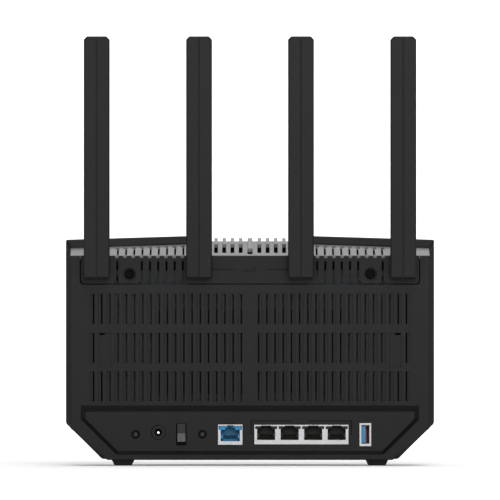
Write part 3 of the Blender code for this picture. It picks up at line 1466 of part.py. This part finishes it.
def make_coax(number, x):
    """A thin lead from the hub's stem, over the board's upper edge, to its connector."""
    start = WALL + GAP + BARB_THICKNESS + GAP
    reach = COAX_SHIFT
    if abs(x) > BOARD_HALF_WIDTH:
        reach = abs(x) - BOARD_HALF_WIDTH + COAX_EDGE_MARGIN
    inward = math.copysign(reach, -x)
    end = BOARD_TOP - COAX_LANDING
    drop = HUB_Z - end
    room = BOARD_DEPTH - COAX_LIFT - start
    route = []
    for aside, ahead, down in COAX_WAY:
        route.append((x + inward * aside, start + room * ahead, HUB_Z - drop * down))
    curve = bpy.data.curves.new("coax", "CURVE")
    curve.dimensions = "3D"
    curve.bevel_depth = COAX_R
    curve.bevel_resolution = 2
    curve.use_fill_caps = True
    spline = curve.splines.new("POLY")
    points = smooth_route(route, 3)
    spline.points.add(len(points) - 1)
    for point, place in zip(spline.points, points):
        point.co = (*world(*place), 1.0)
    lead = bpy.data.objects.new(f"antenna_{number}_coax_lead", curve)
    curve.materials.append(SOCKET_BLACK)
    PARTS.objects.link(lead)


# Feet


def make_foot(name, x, depth):
    """A rubber block that tapers downwards, its top let into the bottom."""
    bm = bmesh.new()
    seat = FOOT_HEIGHT + FOOT_SEAT
    sizes = (
        (0.0, FOOT_BASE_HALF_WIDTH),
        (FOOT_HEIGHT - LAP, FOOT_TOP_HALF_WIDTH),
        (seat, FOOT_TOP_HALF_WIDTH),
    )
    rings = []
    for z, half in sizes:
        length = FOOT_LENGTH / 2 - (FOOT_TOP_HALF_WIDTH - half)
        corners = [(-half, -length), (half, -length), (half, length), (-half, length)]
        rings.append([bm.verts.new(world(x + across, depth + along, z)) for across, along in corners])
    for low, high in zip(rings, rings[1:]):
        for i in range(4):
            j = (i + 1) % 4
            bm.faces.new((low[i], low[j], high[j], high[i]))
    bm.faces.new(rings[0])
    bm.faces.new(rings[-1])
    put(name, mesh_from(bm, name), RUBBER)


# Build

make_rear_cover()
make_dimples(bpy.data.objects["rear_cover"])
make_front_shell()
make_wing_panel("wing_panel_left", -1)
make_wing_panel("wing_panel_right", 1)
make_light_guide()
make_top_grille("top_grille_left", -1)
make_top_grille("top_grille_right", 1)
make_spine()
make_bracket()
for side, sign in (("left", -1), ("right", 1)):
    head = SCREW_WELL_DEPTH - SCREW_WELL_FLOOR - GAP - SCREW_HEAD_HEIGHT
    make_screw(
        f"bracket_screw_{side}", sign * SCREW_WELL_X, head, SCREW_WELL_Z,
        SCREW_HEAD_R, SCREW_HEAD_HEIGHT, SCREW_SHANK_R, SCREW_LENGTH, STEEL,
    )
for number, x in enumerate(ANTENNA_X, start=1):
    make_hub(number, x)
    make_blade(number, x)
    make_coax(number, x)
make_jack("wan_jack_shell", WAN_JACK, (WAN_MIDDLE,), ("wan_jack_insert",), SOCKET_BLUE)
lan_inserts = [f"lan_jack_insert_{number}" for number in range(1, LAN_COUNT + 1)]
make_jack("lan_jack_shell", LAN_JACK, LAN_PORTS, lan_inserts, SOCKET_BLACK)
make_usb()
make_dc_inlet()
make_power_switch()
make_button("wps_button")
make_button("reset_button")
make_board()
make_heat_sink()
make_shield_can("shield_can_left", -CAN_X)
make_shield_can("shield_can_right", CAN_X)
for row, depth in zip(("rear", "front"), FOOT_DEPTHS):
    for side, sign in (("left", -1), ("right", 1)):
        make_foot(f"foot_{row}_{side}", sign * FOOT_X, depth)
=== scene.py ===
"""An upright wireless router: its materials, fine detail, studio floor, lights and camera."""

import json
import math

import bmesh
import bpy
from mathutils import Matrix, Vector


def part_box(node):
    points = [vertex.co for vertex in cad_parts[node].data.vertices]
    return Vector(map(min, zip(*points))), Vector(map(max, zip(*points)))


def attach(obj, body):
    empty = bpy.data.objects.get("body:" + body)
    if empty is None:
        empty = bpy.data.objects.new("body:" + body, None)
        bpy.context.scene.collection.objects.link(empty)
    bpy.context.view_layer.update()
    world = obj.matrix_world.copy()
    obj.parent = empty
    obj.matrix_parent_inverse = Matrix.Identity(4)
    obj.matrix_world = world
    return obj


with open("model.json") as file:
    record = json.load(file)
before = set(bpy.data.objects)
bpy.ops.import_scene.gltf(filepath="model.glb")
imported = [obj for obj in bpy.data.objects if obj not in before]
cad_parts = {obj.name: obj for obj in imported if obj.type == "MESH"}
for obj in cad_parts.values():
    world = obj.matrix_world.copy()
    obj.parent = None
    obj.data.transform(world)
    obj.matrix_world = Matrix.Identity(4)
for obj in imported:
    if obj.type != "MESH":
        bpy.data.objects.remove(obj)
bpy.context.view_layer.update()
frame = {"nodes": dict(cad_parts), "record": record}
NODES = frame["nodes"]

# Places, from the frame
REAR_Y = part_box("rear_cover")[0].y
LAN_LOW, LAN_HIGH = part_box("lan_jack_shell")
SHEET_PROUD = 0.0003
RECESS_Y = LAN_LOW.y + SHEET_PROUD
OPENINGS = {opening["name"]: opening["box_m"] for opening in frame["record"]["physics"]["openings"]}
LAN_NAMES = [name for name in OPENINGS if name.startswith("lan")]

# Contacts and inner frames of the ports: offsets (y, z) from a port's front edge and floor
CONTACTS_PER_PORT = 8
CONTACT_PITCH = 0.00102
CONTACT_WIDTH = 0.00045
CONTACT_THICK = 0.00025
CONTACT_WAY = (
    (0.0020, 0.0002),
    (0.0028, 0.0006),
    (0.0060, 0.0019),
    (0.0095, 0.0034),
    (0.0104, 0.0035),
)
RAIL_SUNK = 0.0012
RAIL_DEPTH = 0.0085
RAIL_WIDTH = 0.0011
RAIL_HEIGHT = 0.0026
RAIL_LIFT = 0.0014
COMB_WAY = ((0.0018, 0.0), (0.0030, 0.0008))
COMB_MARGIN = 0.0012
COMB_THICK = 0.0004

# Ink lines round the LAN ports: how far they stand out from the jack's ends, how far their feet and
# their tops are above its lower and upper edges, and the gap in the top line about the jack's middle
INK = 0.00004
LINE_WIDTH = 0.00055
LINE_MARGIN = (0.0024, 0.0023)
LINE_RISE = (0.0065, 0.0028)
LINE_GAP = (-0.00585, 0.00505)

# Painted shade: a black ring in each button's dimple, standing in for the shadow in the deep groove
# round the button
SHADE_RING_BUTTONS = ("wps_button", "reset_button")
SHADE_RING_SUNK = 0.0005
SHADE_RING_R = (0.0016, 0.0028)
SHADE_RING_THICK = 0.00035
SHADE_RING_SIDES = 40

# Lining and contacts of the USB socket
LINING_SUNK = 0.0030
LINING_X = (0.0012, 0.0026)
LINING_DEPTH = 0.0120
USB_CONTACTS = 4
USB_CONTACT_SUNK = 0.0006
USB_CONTACT_HALF = 0.0005
USB_CONTACT_THICK = 0.00015
USB_CONTACT_LENGTH = 0.0085

# Studio: each lamp has a name, a place, its two sides and its watts
WORLD_STRENGTH = 0.11
LAMPS = (
    ("key_top", (0.0, 0.4, 2.4), (1.6, 1.6), 27.0),
    ("fill_back", (0.2, -4.0, 1.0), (1.4, 1.2), 54.0),
    ("high_back", (0.5, -2.8, 3.2), (2.0, 1.2), 84.0),
    ("fill_front", (0.6, 2.6, 1.8), (2.4, 1.6), 20.0),
)
LAMP_TARGET = (0.0, 0.0, 0.14)
FLOOR_MIDDLE = 2.0
FLOOR_RADIUS = 14.0
FLOOR_RISE = 2.0
FLOOR_RISE_STEPS = 6
FLOOR_SIDES = 64
FLOOR_GLOW = (0.14, 1.1)
GLOW_REACH = (0.3, 1.4)
CAMERA_DISTANCE = 12.0
CAMERA_X = 0.0
CAMERA_HEIGHT = 0.1424
CAMERA_REACH = 50.0
FIELD_WIDTH = 0.330
SENSOR_WIDTH = 36.0


# Materials


class Look:
    """A material under construction: its node tree, its shader and its shared coordinates."""

    def __init__(self, name):
        self.material = bpy.data.materials.new(name)
        self.material.use_nodes = True
        self.tree = self.material.node_tree
        self.shader = self.tree.nodes["Principled BSDF"]
        self.place = self.node("ShaderNodeTexCoord").outputs["Object"]

    def node(self, kind, **settings):
        made = self.tree.nodes.new(kind)
        for key, value in settings.items():
            setattr(made, key, value)
        return made

    def link(self, source, target):
        self.tree.links.new(source, target)

    def noise(self, scale, detail=3.0, stretch=(1, 1, 1)):
        """Noise whose scale is in features a metre, stretched along an axis where asked."""
        mapping = self.node("ShaderNodeMapping")
        mapping.inputs["Scale"].default_value = stretch
        self.link(self.place, mapping.inputs["Vector"])
        noise = self.node("ShaderNodeTexNoise")
        noise.inputs["Scale"].default_value = scale
        noise.inputs["Detail"].default_value = detail
        self.link(mapping.outputs["Vector"], noise.inputs["Vector"])
        return noise.outputs["Fac"]

    def spread(self, source, low, high, start=0.3, end=0.7):
        """Maps a 0 to 1 value onto low to high."""
        step = self.node("ShaderNodeMapRange")
        self.link(source, step.inputs["Value"])
        step.inputs["From Min"].default_value = start
        step.inputs["From Max"].default_value = end
        step.inputs["To Min"].default_value = low
        step.inputs["To Max"].default_value = high
        return step.outputs["Result"]

    def mix(self, factor, first, second):
        """Blends two colours, or a colour socket with a colour."""
        step = self.node("ShaderNodeMix", data_type="RGBA")
        self.link(factor, step.inputs["Factor"])
        for value, target in ((first, step.inputs["A"]), (second, step.inputs["B"])):
            if isinstance(value, bpy.types.NodeSocket):
                self.link(value, target)
            else:
                target.default_value = (*value, 1.0)
        return step.outputs["Result"]

    def edges(self, radius, amount):
        """0 on flat faces and up to amount on edges, with the rounded normal that tells them apart."""
        rounded = self.node("ShaderNodeBevel", samples=4)
        rounded.inputs["Radius"].default_value = radius
        true_normal = self.node("ShaderNodeNewGeometry").outputs["Normal"]
        dot = self.node("ShaderNodeVectorMath", operation="DOT_PRODUCT")
        self.link(rounded.outputs["Normal"], dot.inputs[0])
        self.link(true_normal, dot.inputs[1])
        return self.spread(dot.outputs["Value"], amount, 0.0, 0.75, 0.99), rounded.outputs["Normal"]

    def bump(self, height, strength, distance, normal=None):
        step = self.node("ShaderNodeBump")
        step.inputs["Strength"].default_value = strength
        step.inputs["Distance"].default_value = distance
        self.link(height, step.inputs["Height"])
        if normal is not None:
            self.link(normal, step.inputs["Normal"])
        return step.outputs["Normal"]

    def set(self, **values):
        for name, value in values.items():
            self.shader.inputs[name.replace("_", " ")].default_value = value


def moulded(name, colour, roughness, grain_depth=0.00003, edge=0.35, specular=0.5):
    """Moulded plastic: fine grain, faint cloudiness, rubbed edges that catch the light."""
    look = Look(name)
    dark = tuple(c * 0.9 for c in colour)
    light = tuple(c * 1.12 for c in colour)
    worn = tuple(min(1.0, c * 1.9 + 0.012) for c in colour)
    cloud = look.noise(28.0, 2.0)
    mottled = look.mix(look.spread(cloud, 0.0, 1.0), dark, light)
    on_edges, rounded = look.edges(0.0004, edge)
    look.link(look.mix(on_edges, mottled, worn), look.shader.inputs["Base Color"])
    speck = look.noise(2600.0, 2.0)
    look.link(look.spread(speck, roughness - 0.06, roughness + 0.08), look.shader.inputs["Roughness"])
    look.link(look.bump(speck, 0.35, grain_depth, rounded), look.shader.inputs["Normal"])
    look.set(Specular_IOR_Level=specular)
    return look.material


def silver_paint(name):
    """Satin silver paint on plastic, with fine flakes."""
    look = Look(name)
    cloud = look.noise(22.0, 2.0)
    base = look.mix(look.spread(cloud, 0.0, 1.0), (0.086, 0.086, 0.088), (0.104, 0.104, 0.106))
    flake = look.noise(5200.0, 1.0)
    sparkle = look.mix(look.spread(flake, 0.0, 0.30, 0.55, 0.75), base, (0.20, 0.20, 0.205))
    on_edges, rounded = look.edges(0.0003, 0.25)
    look.link(look.mix(on_edges, sparkle, (0.19, 0.19, 0.195)), look.shader.inputs["Base Color"])
    look.link(look.spread(flake, 0.34, 0.46), look.shader.inputs["Roughness"])
    look.link(look.bump(flake, 0.2, 0.00001, rounded), look.shader.inputs["Normal"])
    look.set(Metallic=0.2)
    return look.material


def metal(name, colour, roughness, stretch):
    """Rolled or cut metal, with fine lines along one axis."""
    look = Look(name)
    lines = look.noise(900.0, 4.0, stretch)
    cloud = look.noise(60.0, 2.0)
    tint = look.mix(look.spread(cloud, 0.0, 1.0), tuple(c * 0.88 for c in colour), colour)
    on_edges, rounded = look.edges(0.00015, 0.5)
    bright = tuple(min(1.0, c * 1.2) for c in colour)
    look.link(look.mix(on_edges, tint, bright), look.shader.inputs["Base Color"])
    look.link(look.spread(lines, roughness - 0.06, roughness + 0.12), look.shader.inputs["Roughness"])
    look.link(look.bump(lines, 0.25, 0.00002, rounded), look.shader.inputs["Normal"])
    look.set(Metallic=1.0)
    return look.material


def circuit_board(name):
    """Dark blue solder mask over faint copper tracks."""
    look = Look(name)
    tracks = look.node("ShaderNodeTexBrick")
    tracks.inputs["Scale"].default_value = 140.0
    tracks.inputs["Mortar Size"].default_value = 0.04
    tracks.inputs["Color1"].default_value = (0.006, 0.022, 0.040, 1.0)
    tracks.inputs["Color2"].default_value = (0.008, 0.030, 0.052, 1.0)
    tracks.inputs["Mortar"].default_value = (0.016, 0.050, 0.075, 1.0)
    turned = look.node("ShaderNodeMapping")
    turned.inputs["Rotation"].default_value = (math.pi / 2, 0.0, 0.0)
    look.link(look.place, turned.inputs["Vector"])
    look.link(turned.outputs["Vector"], tracks.inputs["Vector"])
    look.link(tracks.outputs["Color"], look.shader.inputs["Base Color"])
    weave = look.noise(1500.0, 2.0)
    look.link(look.spread(weave, 0.3, 0.5), look.shader.inputs["Roughness"])
    look.link(look.bump(weave, 0.2, 0.00001), look.shader.inputs["Normal"])
    return look.material


def rubber(name):
    """Matt rubber with scuffs."""
    look = Look(name)
    speck = look.noise(1800.0, 3.0)
    scuff = look.noise(300.0, 2.0)
    tint = look.mix(look.spread(scuff, 0.0, 1.0), (0.003, 0.003, 0.003), (0.007, 0.007, 0.007))
    look.link(tint, look.shader.inputs["Base Color"])
    look.link(look.spread(speck, 0.75, 0.95), look.shader.inputs["Roughness"])
    look.link(look.bump(speck, 0.5, 0.00004), look.shader.inputs["Normal"])
    return look.material


def frosted(name):
    """Frosted clear plastic."""
    look = Look(name)
    speck = look.noise(3000.0, 2.0)
    tint = look.mix(speck, (0.62, 0.64, 0.66), (0.78, 0.80, 0.82))
    look.link(tint, look.shader.inputs["Base Color"])
    look.link(look.spread(speck, 0.25, 0.4), look.shader.inputs["Roughness"])
    look.set(Transmission_Weight=0.25, IOR=1.49)
    return look.material


LOOKS = {
    "black_shell": moulded("black_shell_look", (0.0044, 0.0044, 0.0046), 0.44, specular=0.14),
    "bracket_plastic": moulded("bracket_look", (0.0042, 0.0042, 0.0044), 0.44, specular=0.13),
    "antenna_plastic": moulded("antenna_look", (0.0048, 0.0049, 0.0051), 0.44, edge=0.25, specular=0.13),
    "coax_jacket": moulded("coax_look", (0.015, 0.015, 0.015), 0.4),
    "circuit_board": circuit_board("board_look"),
    "silver_plastic": silver_paint("silver_look"),
    "steel_sheet": metal("shield_look", (0.34, 0.34, 0.345), 0.42, (1, 1, 14)),
    "screw_steel": metal("screw_look", (0.006, 0.006, 0.0065), 0.55, (1, 1, 1)),
    "heat_sink_aluminium": metal("heat_sink_look", (0.020, 0.021, 0.023), 0.48, (14, 1, 1)),
    "socket_blue": moulded("socket_blue_look", (0.009, 0.175, 0.365), 0.42, specular=0.25),
    "socket_black": moulded("socket_black_look", (0.0075, 0.0076, 0.0082), 0.48, specular=0.2),
    "control_black": moulded("control_look", (0.0040, 0.0040, 0.0042), 0.26, 0.000004, specular=0.2),
    "foot_rubber": rubber("foot_look"),
    "light_guide": frosted("light_guide_look"),
    "contact_gold": metal("contact_look", (0.60, 0.42, 0.16), 0.30, (1, 8, 1)),
    # black ink for the printed lines, also used for the painted shade rings in the button dimples
    "ink": moulded("ink_and_painted_shade_look", (0.0020, 0.0020, 0.0022), 0.8, edge=0.0, specular=0.1),
    "usb_red": moulded("usb_red_look", (0.055, 0.003, 0.003), 0.6, edge=0.0, specular=0.1),
}
NODE_LOOKS = {
    "dc_inlet_body": moulded("inlet_look", (0.0028, 0.0028, 0.0030), 0.5, specular=0.2),
    "dc_inlet_pin": metal("pin_look", (0.80, 0.80, 0.80), 0.25, (1, 1, 1)),
}


def dress_frame():
    """Gives each CAD node its own look, or else the look of its material slot."""
    for part in frame["record"]["subparts"]:
        mesh = NODES[part["node"]].data
        mesh.materials.clear()
        mesh.materials.append(NODE_LOOKS.get(part["node"], LOOKS[part["material_slot"]]))


# Studio


def studio_floor():
    """A pale round floor whose far rim curves up. It glows away from the object, like a lit backdrop."""
    bm = bmesh.new()
    profile = [(FLOOR_MIDDLE, 0.0), (FLOOR_RADIUS, 0.0)]
    for step in range(1, FLOOR_RISE_STEPS + 1):
        turn = math.pi / 2 * step / FLOOR_RISE_STEPS
        radius = FLOOR_RADIUS + FLOOR_RISE * math.sin(turn)
        profile.append((radius, FLOOR_RISE - FLOOR_RISE * math.cos(turn)))
    rings = []
    for radius, height in profile:
        ring = []
        for i in range(FLOOR_SIDES):
            turn = 2 * math.pi * i / FLOOR_SIDES
            ring.append(bm.verts.new((radius * math.cos(turn), radius * math.sin(turn), height)))
        rings.append(ring)
    bm.faces.new(rings[0])
    for near, far in zip(rings, rings[1:]):
        for i in range(FLOOR_SIDES):
            j = (i + 1) % FLOOR_SIDES
            bm.faces.new((near[i], far[i], far[j], near[j]))
    mesh = bpy.data.meshes.new("studio_floor")
    bm.to_mesh(mesh)
    bm.free()
    mesh.shade_smooth()
    floor = bpy.data.objects.new("studio_floor", mesh)
    bpy.context.scene.collection.objects.link(floor)
    look = Look("floor_look")
    look.set(Base_Color=(0.90, 0.90, 0.90, 1.0), Roughness=0.9, Specular_IOR_Level=0.2)
    look.set(Emission_Color=(1.0, 1.0, 1.0, 1.0))
    reach = look.node("ShaderNodeVectorMath", operation="LENGTH")
    look.link(look.place, reach.inputs[0])
    glow = look.spread(reach.outputs["Value"], *FLOOR_GLOW, *GLOW_REACH)
    look.link(glow, look.shader.inputs["Emission Strength"])
    mesh.materials.append(look.material)


def studio():
    """The floor, soft lights, and the camera square on to the back."""
    studio_floor()
    world = bpy.data.worlds.new("studio_world")
    world.use_nodes = True
    background = world.node_tree.nodes["Background"]
    background.inputs["Color"].default_value = (1.0, 1.0, 1.0, 1.0)
    background.inputs["Strength"].default_value = WORLD_STRENGTH
    bpy.context.scene.world = world
    for name, place, size, power in LAMPS:
        lamp = bpy.data.lights.new(name, "AREA")
        lamp.shape = "RECTANGLE"
        lamp.size, lamp.size_y = size
        lamp.energy = power
        holder = bpy.data.objects.new(name, lamp)
        holder.location = place
        aim = Vector(LAMP_TARGET) - Vector(place)
        holder.rotation_euler = aim.to_track_quat("-Z", "Y").to_euler()
        bpy.context.scene.collection.objects.link(holder)

    camera = bpy.data.cameras.new("camera")
    camera.sensor_width = SENSOR_WIDTH
    camera.lens = SENSOR_WIDTH * CAMERA_DISTANCE / FIELD_WIDTH
    camera.clip_end = CAMERA_REACH
    eye = bpy.data.objects.new("camera", camera)
    eye.location = (CAMERA_X, REAR_Y - CAMERA_DISTANCE, CAMERA_HEIGHT)
    eye.rotation_euler = (math.pi / 2, 0.0, 0.0)
    bpy.context.scene.collection.objects.link(eye)
    bpy.context.scene.camera = eye
    bpy.context.scene.view_settings.view_transform = "Standard"


# Fine detail that the frame leaves out


def finish_piece(name, bm, look, body):
    """Makes a closed piece from a bmesh and lets it ride with a body."""
    bmesh.ops.recalc_face_normals(bm, faces=bm.faces)
    mesh = bpy.data.meshes.new(name)
    bm.to_mesh(mesh)
    bm.free()
    mesh.materials.append(look)
    obj = bpy.data.objects.new(name, mesh)
    bpy.context.scene.collection.objects.link(obj)
    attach(obj, body)
    return obj


def add_ribbon(bm, points, low_x, high_x, thickness):
    """A strip from low_x to high_x that follows (y, z) points, thickness deep towards their left."""
    count = len(points)
    rims = [[], [], [], []]
    for i, (y, z) in enumerate(points):
        ahead = Vector(points[min(i + 1, count - 1)])
        behind = Vector(points[max(i - 1, 0)])
        along = (ahead - behind).normalized()
        away = Vector((-along.y, along.x)) * thickness
        rims[0].append(bm.verts.new((low_x, y, z)))
        rims[1].append(bm.verts.new((high_x, y, z)))
        rims[2].append(bm.verts.new((high_x, y + away.x, z + away.y)))
        rims[3].append(bm.verts.new((low_x, y + away.x, z + away.y)))
    for i in range(count - 1):
        for side in range(4):
            near, far = rims[side], rims[(side + 1) % 4]
            bm.faces.new((near[i], near[i + 1], far[i + 1], far[i]))
    bm.faces.new([rim[0] for rim in rims])
    bm.faces.new([rim[-1] for rim in rims])


def jack_contacts(name, ports):
    """Eight sprung wires in each port, which rise from its floor towards the back."""
    bm = bmesh.new()
    for port in ports:
        low, high = OPENINGS[port]
        middle = (low[0] + high[0]) / 2
        way = [(low[1] + sunk, low[2] + lift) for sunk, lift in CONTACT_WAY]
        for i in range(CONTACTS_PER_PORT):
            x = middle + (i - (CONTACTS_PER_PORT - 1) / 2) * CONTACT_PITCH
            add_ribbon(bm, way, x - CONTACT_WIDTH / 2, x + CONTACT_WIDTH / 2, CONTACT_THICK)
    return finish_piece(name, bm, LOOKS["contact_gold"], "root")


def jack_inner_frames(name, ports, slot_name):
    """A step inside each port: side rails and a comb over the contacts."""
    bm = bmesh.new()
    for port in ports:
        low, high = OPENINGS[port]
        front, floor = low[1], low[2]
        rail_z = floor + RAIL_LIFT
        way = ((front + RAIL_SUNK, rail_z), (front + RAIL_SUNK + RAIL_DEPTH, rail_z))
        add_ribbon(bm, way, low[0], low[0] + RAIL_WIDTH, RAIL_HEIGHT)
        add_ribbon(bm, way, high[0] - RAIL_WIDTH, high[0], RAIL_HEIGHT)
        comb = [(front + sunk, floor + lift) for sunk, lift in COMB_WAY]
        add_ribbon(bm, comb, low[0] + COMB_MARGIN, high[0] - COMB_MARGIN, COMB_THICK)
    return finish_piece(name, bm, LOOKS[slot_name], "root")


def printed_lines():
    """Thin ink lines round the four ports, open at the middle of the top."""
    bm = bmesh.new()
    left = LAN_LOW.x - LINE_MARGIN[0]
    right = LAN_HIGH.x + LINE_MARGIN[1]
    low, high = LAN_LOW.z + LINE_RISE[0], LAN_HIGH.z + LINE_RISE[1]
    middle = (LAN_LOW.x + LAN_HIGH.x) / 2
    bars = (
        (left, left + LINE_WIDTH, low, high),
        (left + LINE_WIDTH, middle + LINE_GAP[0], high - LINE_WIDTH, high),
        (middle + LINE_GAP[1], right - LINE_WIDTH, high - LINE_WIDTH, high),
        (right - LINE_WIDTH, right, low, high),
    )
    for x0, x1, z0, z1 in bars:
        add_ribbon(bm, ((RECESS_Y + INK, z0), (RECESS_Y + INK, z1)), x0, x1, 2 * INK)
    return finish_piece("printed_port_lines", bm, LOOKS["ink"], "root")


def button_painted_shade_rings():
    """Painted shade: a black ring on the floor of each button's dimple, standing in for the shadow of
    the deep groove round the button.
    """
    bm = bmesh.new()
    for name in SHADE_RING_BUTTONS:
        low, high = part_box(name)
        x, z = (low.x + high.x) / 2, (low.z + high.z) / 2
        front = low.y + SHADE_RING_SUNK
        rims = []
        for y, radius in (
            (front, SHADE_RING_R[0]),
            (front, SHADE_RING_R[1]),
            (front + SHADE_RING_THICK, SHADE_RING_R[1]),
            (front + SHADE_RING_THICK, SHADE_RING_R[0]),
        ):
            ring = []
            for i in range(SHADE_RING_SIDES):
                turn = 2 * math.pi * i / SHADE_RING_SIDES
                across, up = radius * math.cos(turn), radius * math.sin(turn)
                ring.append(bm.verts.new((x + across, y, z + up)))
            rims.append(ring)
        for side in range(4):
            near, far = rims[side], rims[(side + 1) % 4]
            for i in range(SHADE_RING_SIDES):
                j = (i + 1) % SHADE_RING_SIDES
                bm.faces.new((near[i], near[j], far[j], far[i]))
    return finish_piece("button_painted_shade_rings", bm, LOOKS["ink"], "root")


def usb_lining():
    """The coloured plastic beside the USB socket's tongue."""
    low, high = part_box("usb_tongue")
    bm = bmesh.new()
    front = low.y + LINING_SUNK
    way = ((front, low.z), (front, high.z))
    add_ribbon(bm, way, high.x + LINING_X[0], high.x + LINING_X[1], -LINING_DEPTH)
    return finish_piece("usb_lining", bm, LOOKS["usb_red"], "root")


def usb_contacts():
    """Four contacts on the side of the USB socket's tongue."""
    low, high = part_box("usb_tongue")
    bm = bmesh.new()
    front = low.y + USB_CONTACT_SUNK
    for i in range(USB_CONTACTS):
        z = low.z + (i + 1) * (high.z - low.z) / (USB_CONTACTS + 1)
        way = ((front, z - USB_CONTACT_HALF), (front, z + USB_CONTACT_HALF))
        add_ribbon(bm, way, high.x, high.x + USB_CONTACT_THICK, -USB_CONTACT_LENGTH)
    return finish_piece("usb_contacts", bm, LOOKS["contact_gold"], "root")


dress_frame()
jack_contacts("lan_contacts", LAN_NAMES)
jack_contacts("wan_contacts", ["wan_port"])
jack_inner_frames("lan_inner_frames", LAN_NAMES, "socket_black")
jack_inner_frames("wan_inner_frame", ["wan_port"], "socket_blue")
printed_lines()
# painted shade rings in the button dimples
button_painted_shade_rings()
usb_lining()
usb_contacts()
studio()
